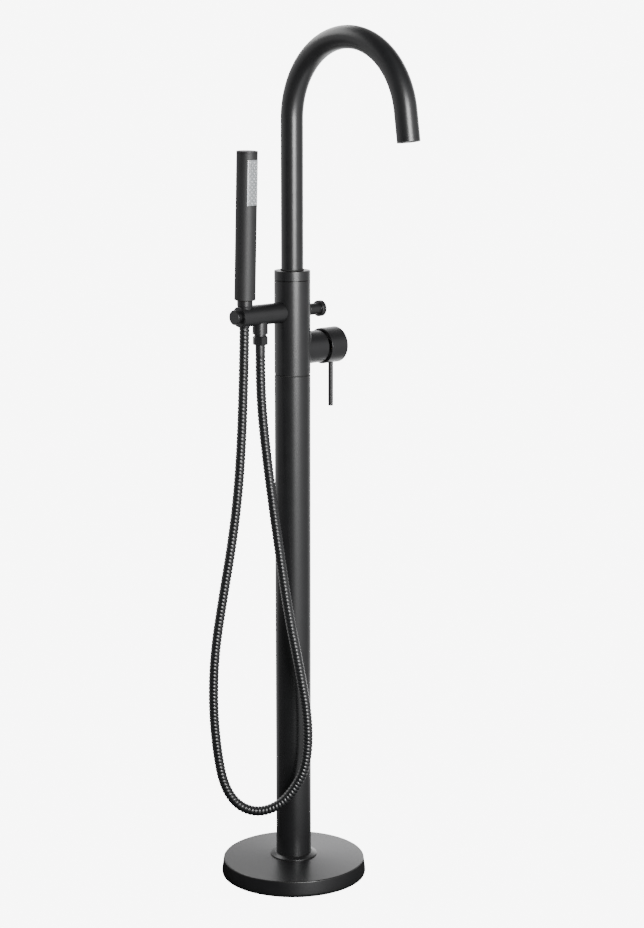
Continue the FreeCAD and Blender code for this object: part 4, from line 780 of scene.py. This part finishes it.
class FILLER_OT_hose(bpy.types.Operator):
    """Winds the ribbed hose along its route"""
    bl_idname = "filler.hose"
    bl_label = "Shower hose"

    def execute(self, context):
        path = self.route()
        hose = stand_for(self.winding(path), "shower_hose", "lacquered_steel")
        return {"FINISHED"}

    def route(self):
        """Evenly spaced points of the smooth curve through the route, in metres."""
        curve = bpy.data.curves.new("hose_route", "CURVE")
        curve.dimensions = "3D"
        curve.resolution_u = 32
        spline = curve.splines.new("NURBS")
        spline.points.add(len(HOSE_ROUTE_M) - 1)
        for point, place in zip(spline.points, HOSE_ROUTE_M):
            point.co = (*place, 1.0)
        spline.order_u = 3
        spline.use_endpoint_u = True
        guide = bpy.data.objects.new("hose_route", curve)
        bpy.context.scene.collection.objects.link(guide)
        bpy.context.view_layer.update()
        line = bpy.data.meshes.new_from_object(guide)
        spots = [vertex.co.copy() for vertex in line.vertices]
        bpy.data.objects.remove(guide)
        total = sum((b - a).length for a, b in zip(spots, spots[1:]))
        rings_per_rib = 8
        count = round(total / (sizes().rib_pitch / rings_per_rib))
        even = [spots[0]]
        walked, leg = 0.0, 0
        for index in range(1, count):
            wanted = total * index / count
            while walked + (spots[leg + 1] - spots[leg]).length < wanted:
                walked += (spots[leg + 1] - spots[leg]).length
                leg += 1
            step = spots[leg + 1] - spots[leg]
            even.append(spots[leg] + step * ((wanted - walked) / step.length))
        return even + [spots[-1]]

    def winding(self, path):
        """A tube whose radius rises and falls along a helix, one rib to each turn. A direction that
        is level at the start and square to the path all along keeps the tube from twisting."""
        sides = 20
        crest = 3
        outer, depth, pitch = sizes().hose_radius, sizes().rib_depth, sizes().rib_pitch
        steady = Vector((0.65, 0.76, 0))
        points, faces = [], []
        walked = 0.0
        for index, spot in enumerate(path):
            before, after = path[max(index - 1, 0)], path[min(index + 1, len(path) - 1)]
            ahead = (after - before).normalized()
            steady = (steady - ahead * steady.dot(ahead)).normalized()
            across = ahead.cross(steady)
            if index:
                walked += (spot - path[index - 1]).length
            for side in range(sides):
                angle = 2 * math.pi * side / sides
                phase = (walked / pitch + side / sides) % 1.0
                radius = outer - depth * abs(2 * phase - 1) ** crest
                points.append(spot + (steady * math.cos(angle) + across * math.sin(angle)) * radius)
        for ring in range(len(path) - 1):
            for side in range(sides):
                beside = (side + 1) % sides
                faces.append((
                    ring * sides + side, ring * sides + beside,
                    (ring + 1) * sides + beside, (ring + 1) * sides + side))
        last = (len(path) - 1) * sides
        faces.append(tuple(range(sides))[::-1])
        faces.append(tuple(range(last, last + sides)))
        mesh = bpy.data.meshes.new("ribbed_hose")
        mesh.from_pydata(points, [], faces)
        mesh.update()
        hose = bpy.data.objects.new("ribbed_hose", mesh)
        bpy.context.scene.collection.objects.link(hose)
        take(hose)
        bpy.ops.object.mode_set(mode="EDIT")
        bpy.ops.mesh.select_all(action="SELECT")
        bpy.ops.mesh.normals_make_consistent(inside=False)
        bpy.ops.object.mode_set(mode="OBJECT")
        bpy.ops.object.shade_smooth_by_angle(angle=math.radians(60))
        return hose


class FILLER_OT_hand_shower(bpy.types.Operator):
    """Models the hand shower's case, its top, its spray face and nozzles, and the cone below it"""
    bl_idname = "filler.hand_shower"
    bl_label = "Hand shower"

    def execute(self, context):
        case, face = self.case_and_face()
        stand_for(case, "shower_case", "satin_black_abs")
        stand_for(face, "spray_face", "moulded_abs")
        self.lay_mat(face)
        stand_for(self.nozzles(), "spray_jets", "silicone_rubber")
        plug_r, plug_foot = WAND_R - 2.1, WAND_TOP - 8.0
        lid = turned("wand_top", [
            (0, plug_foot),
            (plug_r, plug_foot),
            (plug_r, LID_JOINT),
            (WAND_R, LID_JOINT + 0.1, 0.25),
            (WAND_R, WAND_TOP, 0.7),
            (0, WAND_TOP),
        ], place=WAND_AXIS, sides=128)
        stand_for(lid, "shower_lid", "satin_black_abs")
        bore, cone_foot, cone_top = 4.0, -14.0, 13.4
        rim_r, rim_foot, rim_top = 10.65, 14.8, WAND_FOOT - 0.3
        socket_r, socket_end = 8.45, WAND_FOOT - 11.0
        cone = turned("cradle_cone", [
            (bore, cone_foot),
            (7.7, cone_foot, 0.4),
            (10.0, cone_top),
            (rim_r, rim_foot, 0.4),
            (rim_r, rim_top, 0.6),
            (socket_r, rim_top),
            (socket_r, socket_end),
            (bore, socket_end),
        ], place=WAND_AXIS, sides=80)
        stand_for(cone, "cone_nut", "powder_coated_brass")
        return {"FINISHED"}

    def case_and_face(self):
        """One tube. The faces of its window are split off as the spray face, then both get a wall."""
        case = drawn_up("wand_case", [
            (WAND_R - 0.9, WAND_FOOT),
            (WAND_R, WAND_FOOT + 0.9),
            (WAND_R, FACE_FOOT),
            (WAND_R, FACE_FOOT + FACE_HEIGHT),
            (WAND_R, LID_JOINT - 0.1),
            (WAND_R - 0.1, LID_JOINT),
        ], 128)
        bpy.ops.mesh.select_all(action="SELECT")
        bpy.ops.mesh.normals_make_consistent(inside=False)
        half_angle = math.radians(FACE_HALF_ANGLE)

        def in_window(corners):
            centre = sum(corners, Vector()) / len(corners)
            side_angle = abs(math.atan2(centre.x, -centre.y))
            return (side_angle < half_angle
                    and FACE_FOOT * MM < centre.z < (FACE_FOOT + FACE_HEIGHT) * MM)

        pick(case, "faces", in_window)
        bpy.ops.mesh.separate(type="SELECTED")
        bpy.ops.object.mode_set(mode="OBJECT")
        face = [piece for piece in bpy.context.selected_objects if piece is not case][0]
        face.name = "wand_face"
        modify(case, "SOLIDIFY", thickness=2 * MM, offset=-1.0, use_even_offset=True)
        sharp = {"limit_method": "ANGLE", "angle_limit": math.radians(50)}
        modify(case, "BEVEL", width=0.3 * MM, segments=2, **sharp)
        settle(case, WAND_AXIS)
        take(face)
        bpy.ops.object.mode_set(mode="EDIT")
        bpy.ops.mesh.select_all(action="SELECT")
        middle_m = (FACE_FOOT + FACE_HEIGHT / 2) * MM
        within_window = (0.982, 0.99, 0.995)
        bpy.ops.transform.resize(value=within_window, center_override=(0, 0, middle_m))
        bpy.ops.object.mode_set(mode="OBJECT")
        modify(face, "SOLIDIFY", thickness=2.4 * MM, offset=-1.0)
        modify(face, "BEVEL", width=0.4 * MM, segments=3, **sharp)
        settle(face, WAND_AXIS)
        return case, face

    def lay_mat(self, face):
        """The middle of the face is the grey mat that carries the nozzles, inside a pale frame."""
        face.data.materials.append(bpy.data.materials["silicone_mat"])
        upright = WAND_AXIS.inverted()
        inside_frame, skin_r = FACE_HALF_ANGLE - FRAME_ANGLE, WAND_R - 0.6
        for polygon in face.data.polygons:
            centre = upright @ polygon.center
            side_angle = math.degrees(abs(math.atan2(centre.x, -centre.y)))
            if side_angle < inside_frame and centre.xy.length > skin_r * MM:
                polygon.material_index = 1

    def nozzles(self):
        """One nozzle is modelled and copied into staggered rows, which follow the face's curve."""
        radius = sizes().jet_radius / MM
        root, shoulder, tip, hole_end = 10.0, 12.0, WAND_R + 1.2, WAND_R + 0.5
        first = turned("spray_nozzle", [
            (0, root),
            (radius, root),
            (radius, shoulder, 0.2),
            (radius * 0.68, tip, 0.2),
            (radius * 0.34, tip),
            (radius * 0.28, hole_end),
            (0, hole_end),
        ], sides=14, steps=2)
        rows, first_row = 8, FACE_FOOT + 3.4
        copies = []
        for side_angle, shift in ((-26, 0.5), (-13, 0.0), (0, 0.5), (13, 0.0), (26, 0.5)):
            for row in range(rows):
                height = first_row + (row + shift) * sizes().jet_pitch / MM
                aim = (Matrix.Rotation(math.radians(side_angle), 4, "Z")
                       @ Matrix.Rotation(math.radians(90), 4, "X"))
                copy = first.copy()
                copy.data = first.data.copy()
                bpy.context.scene.collection.objects.link(copy)
                copy.matrix_world = WAND_AXIS @ Matrix.Translation((0, 0, height * MM)) @ aim
                copies.append(copy)
        bpy.data.objects.remove(first)
        deselect()
        for copy in copies:
            copy.select_set(True)
        bpy.context.view_layer.objects.active = copies[0]
        bpy.ops.object.join()
        jets = bpy.context.object
        jets.name = "wand_nozzles"
        return settle(jets, UPRIGHT)


# ------------------------------------------------------------------ studio
class FILLER_OT_studio(bpy.types.Operator):
    """Sets up the pale floor, the soft lights and the camera"""
    bl_idname = "filler.studio"
    bl_label = "Studio"

    def execute(self, context):
        self.floor()
        self.surroundings()
        self.lights()
        self.camera()
        return {"FINISHED"}

    def glow(self, tree, direction, levels, amount, span, fade):
        """A soft light by compass direction. It fades from the first value of fade to the second as
        the height or the distance passes through its span."""
        axes = add_node(tree, "SeparateXYZ", {"Vector": direction})
        forward = add_node(tree, "Math", {0: axes.outputs["Y"], 1: -1.0}, operation="MULTIPLY")
        azimuth = add_node(tree, "Math", {0: axes.outputs["X"], 1: forward.outputs["Value"]},
                           operation="ARCTAN2")
        turn = add_node(tree, "MapRange", {
            "Value": azimuth.outputs["Value"], "From Min": -math.pi, "From Max": math.pi})
        room = add_node(tree, "ValToRGB", {"Fac": turn.outputs["Result"]})
        faint_blue = 1.01
        for degrees, level in levels:
            position = (degrees + 180) / 360
            if position in (0.0, 1.0):
                stop = room.color_ramp.elements[int(position)]
            else:
                stop = room.color_ramp.elements.new(position)
            stop.color = (level, level, level * faint_blue, 1)
        if amount == "height":
            passed = axes.outputs["Z"]
        else:
            passed = add_node(tree, "VectorMath", {0: direction}, operation="LENGTH").outputs["Value"]
        strength = add_node(tree, "MapRange", {
            "Value": passed, "From Min": span[0], "From Max": span[1],
            "To Min": fade[0], "To Max": fade[1]})
        return {"Color": room.outputs["Color"], "Strength": strength.outputs["Result"]}

    def two_sided(self, tree, kind, output, mirrored_light):
        """White to the eye, and to everything that the metal mirrors the room's own light, or on the
        floor a painted light.
        """
        bright = add_node(tree, kind, {"Color": (1, 1, 1, 1), "Strength": WHITE})
        dim = add_node(tree, kind, mirrored_light)
        eye = add_node(tree, "LightPath").outputs["Is Camera Ray"]
        mix = add_node(tree, "MixShader", {0: eye, 1: dim.outputs[0], 2: bright.outputs[0]})
        out = add_node(tree, output)
        tree.links.new(mix.outputs["Shader"], out.inputs["Surface"])

    def floor(self):
        """A matt white floor, which runs into the backdrop. It glows white to the eye and dimmer to what
        the metal mirrors: a painted light with a painted pool of the key's light, darkened near the foot
        as painted shade.
        """
        deselect()
        bpy.ops.mesh.primitive_plane_add(size=6, location=(0, 0, -0.5 * MM))
        floor = bpy.context.object
        floor.name = "studio_floor"
        material = bpy.data.materials.new("studio_ground")
        material.use_nodes = True
        tree = material.node_tree
        tree.nodes.clear()
        places = add_node(tree, "TexCoord").outputs["Object"]
        # Painted shade: the floor's mirrored light fades from 0.85 out at 0.55 m to 0.05 within 0.12 m
        # of the foot's middle.
        self.two_sided(tree, "Emission", "OutputMaterial",
                       self.glow(tree, places, GROUND_PAINTED_LIGHT, "distance", (0.12, 0.55), (0.05, 0.85)))
        floor.data.materials.append(material)

    def surroundings(self):
        """The walls of the studio."""
        world = bpy.context.scene.world or bpy.data.worlds.new("studio_room")
        bpy.context.scene.world = world
        world.use_nodes = True
        tree = world.node_tree
        tree.nodes.clear()
        ray = add_node(tree, "TexCoord").outputs["Generated"]
        self.two_sided(tree, "Background", "OutputWorld",
                       self.glow(tree, ray, ROOM_GLOW, "height", (0.36, 0.6), (1.0, 0.15)))

    def lights(self):
        """A tall softbox to the right of the camera with a low reflector under it, and a wide softbox
        high up behind the column. Lengths are in metres and azimuths in degrees."""
        distance = 2.4
        for name, azimuth, low_edge, width, length, radiance in (
                ("softbox_key", -18.0, 0.72, 1.0, 1.15, 33.0),
                ("low_reflector", -14.0, 0.02, 1.6, 0.55, 1.2),
                ("softbox_back", -177.0, 2.1, 4.2, 1.9, 4.0)):
            data = bpy.data.lights.new(name, "AREA")
            data.shape = "RECTANGLE"
            data.size, data.size_y = width, length
            data.energy = radiance * math.pi * width * length
            lamp = bpy.data.objects.new(name, data)
            bpy.context.scene.collection.objects.link(lamp)
            turn = math.radians(azimuth)
            lamp.location = (
                distance * math.sin(turn), -distance * math.cos(turn), low_edge + length / 2)
            lamp.rotation_euler = (math.radians(90), 0, turn)

    def camera(self):
        """The photograph's view: 42 degrees round to the left, from just under the spout's height."""
        azimuth, pan, tilt = math.radians(-42.085), math.radians(0.785), math.radians(11.0)
        distance, height = 2.9874, 1.1809
        data = bpy.data.cameras.new("view")
        data.sensor_fit = "AUTO"
        data.sensor_width = 36.0
        data.lens = 84.4
        camera = bpy.data.objects.new("view", data)
        bpy.context.scene.collection.objects.link(camera)
        camera.location = (distance * math.sin(azimuth), -distance * math.cos(azimuth), height)
        camera.rotation_euler = (math.radians(90) - tilt, 0, azimuth - pan)
        bpy.context.scene.camera = camera


class FILLER_PT_panel(bpy.types.Panel):
    """Lists the sizes, the colours and the pieces"""
    bl_idname = "FILLER_PT_panel"
    bl_label = "Bath filler"
    bl_space_type = "VIEW_3D"
    bl_region_type = "UI"
    bl_category = "Bath Filler"

    def draw(self, context):
        for group in (context.scene.filler_sizes, context.scene.filler_colours):
            column = self.layout.column(align=True)
            for name in group.__annotations__:
                column.prop(group, name)
        column = self.layout.column(align=True)
        for operator in OPERATORS:
            column.operator(operator.bl_idname)


OPERATORS = (
    FILLER_OT_finishes,
    FILLER_OT_foot,
    FILLER_OT_column,
    FILLER_OT_spout,
    FILLER_OT_handle,
    FILLER_OT_diverter,
    FILLER_OT_arm,
    FILLER_OT_hand_shower,
    FILLER_OT_hose,
    FILLER_OT_studio,
)
CLASSES = (FillerSizes, FillerColours, *OPERATORS, FILLER_PT_panel)


def register():
    for item in CLASSES:
        bpy.utils.register_class(item)
    bpy.types.Scene.filler_sizes = bpy.props.PointerProperty(type=FillerSizes)
    bpy.types.Scene.filler_colours = bpy.props.PointerProperty(type=FillerColours)


def unregister():
    del bpy.types.Scene.filler_colours
    del bpy.types.Scene.filler_sizes
    for item in reversed(CLASSES):
        bpy.utils.unregister_class(item)


def main():
    register()
    bpy.ops.filler.finishes()
    bpy.ops.filler.foot()
    bpy.ops.filler.column()
    bpy.ops.filler.spout()
    bpy.ops.filler.handle()
    bpy.ops.filler.diverter()
    bpy.ops.filler.arm()
    bpy.ops.filler.hand_shower()
    bpy.ops.filler.hose()
    bpy.ops.filler.studio()


if __name__ == "__main__":
    main()
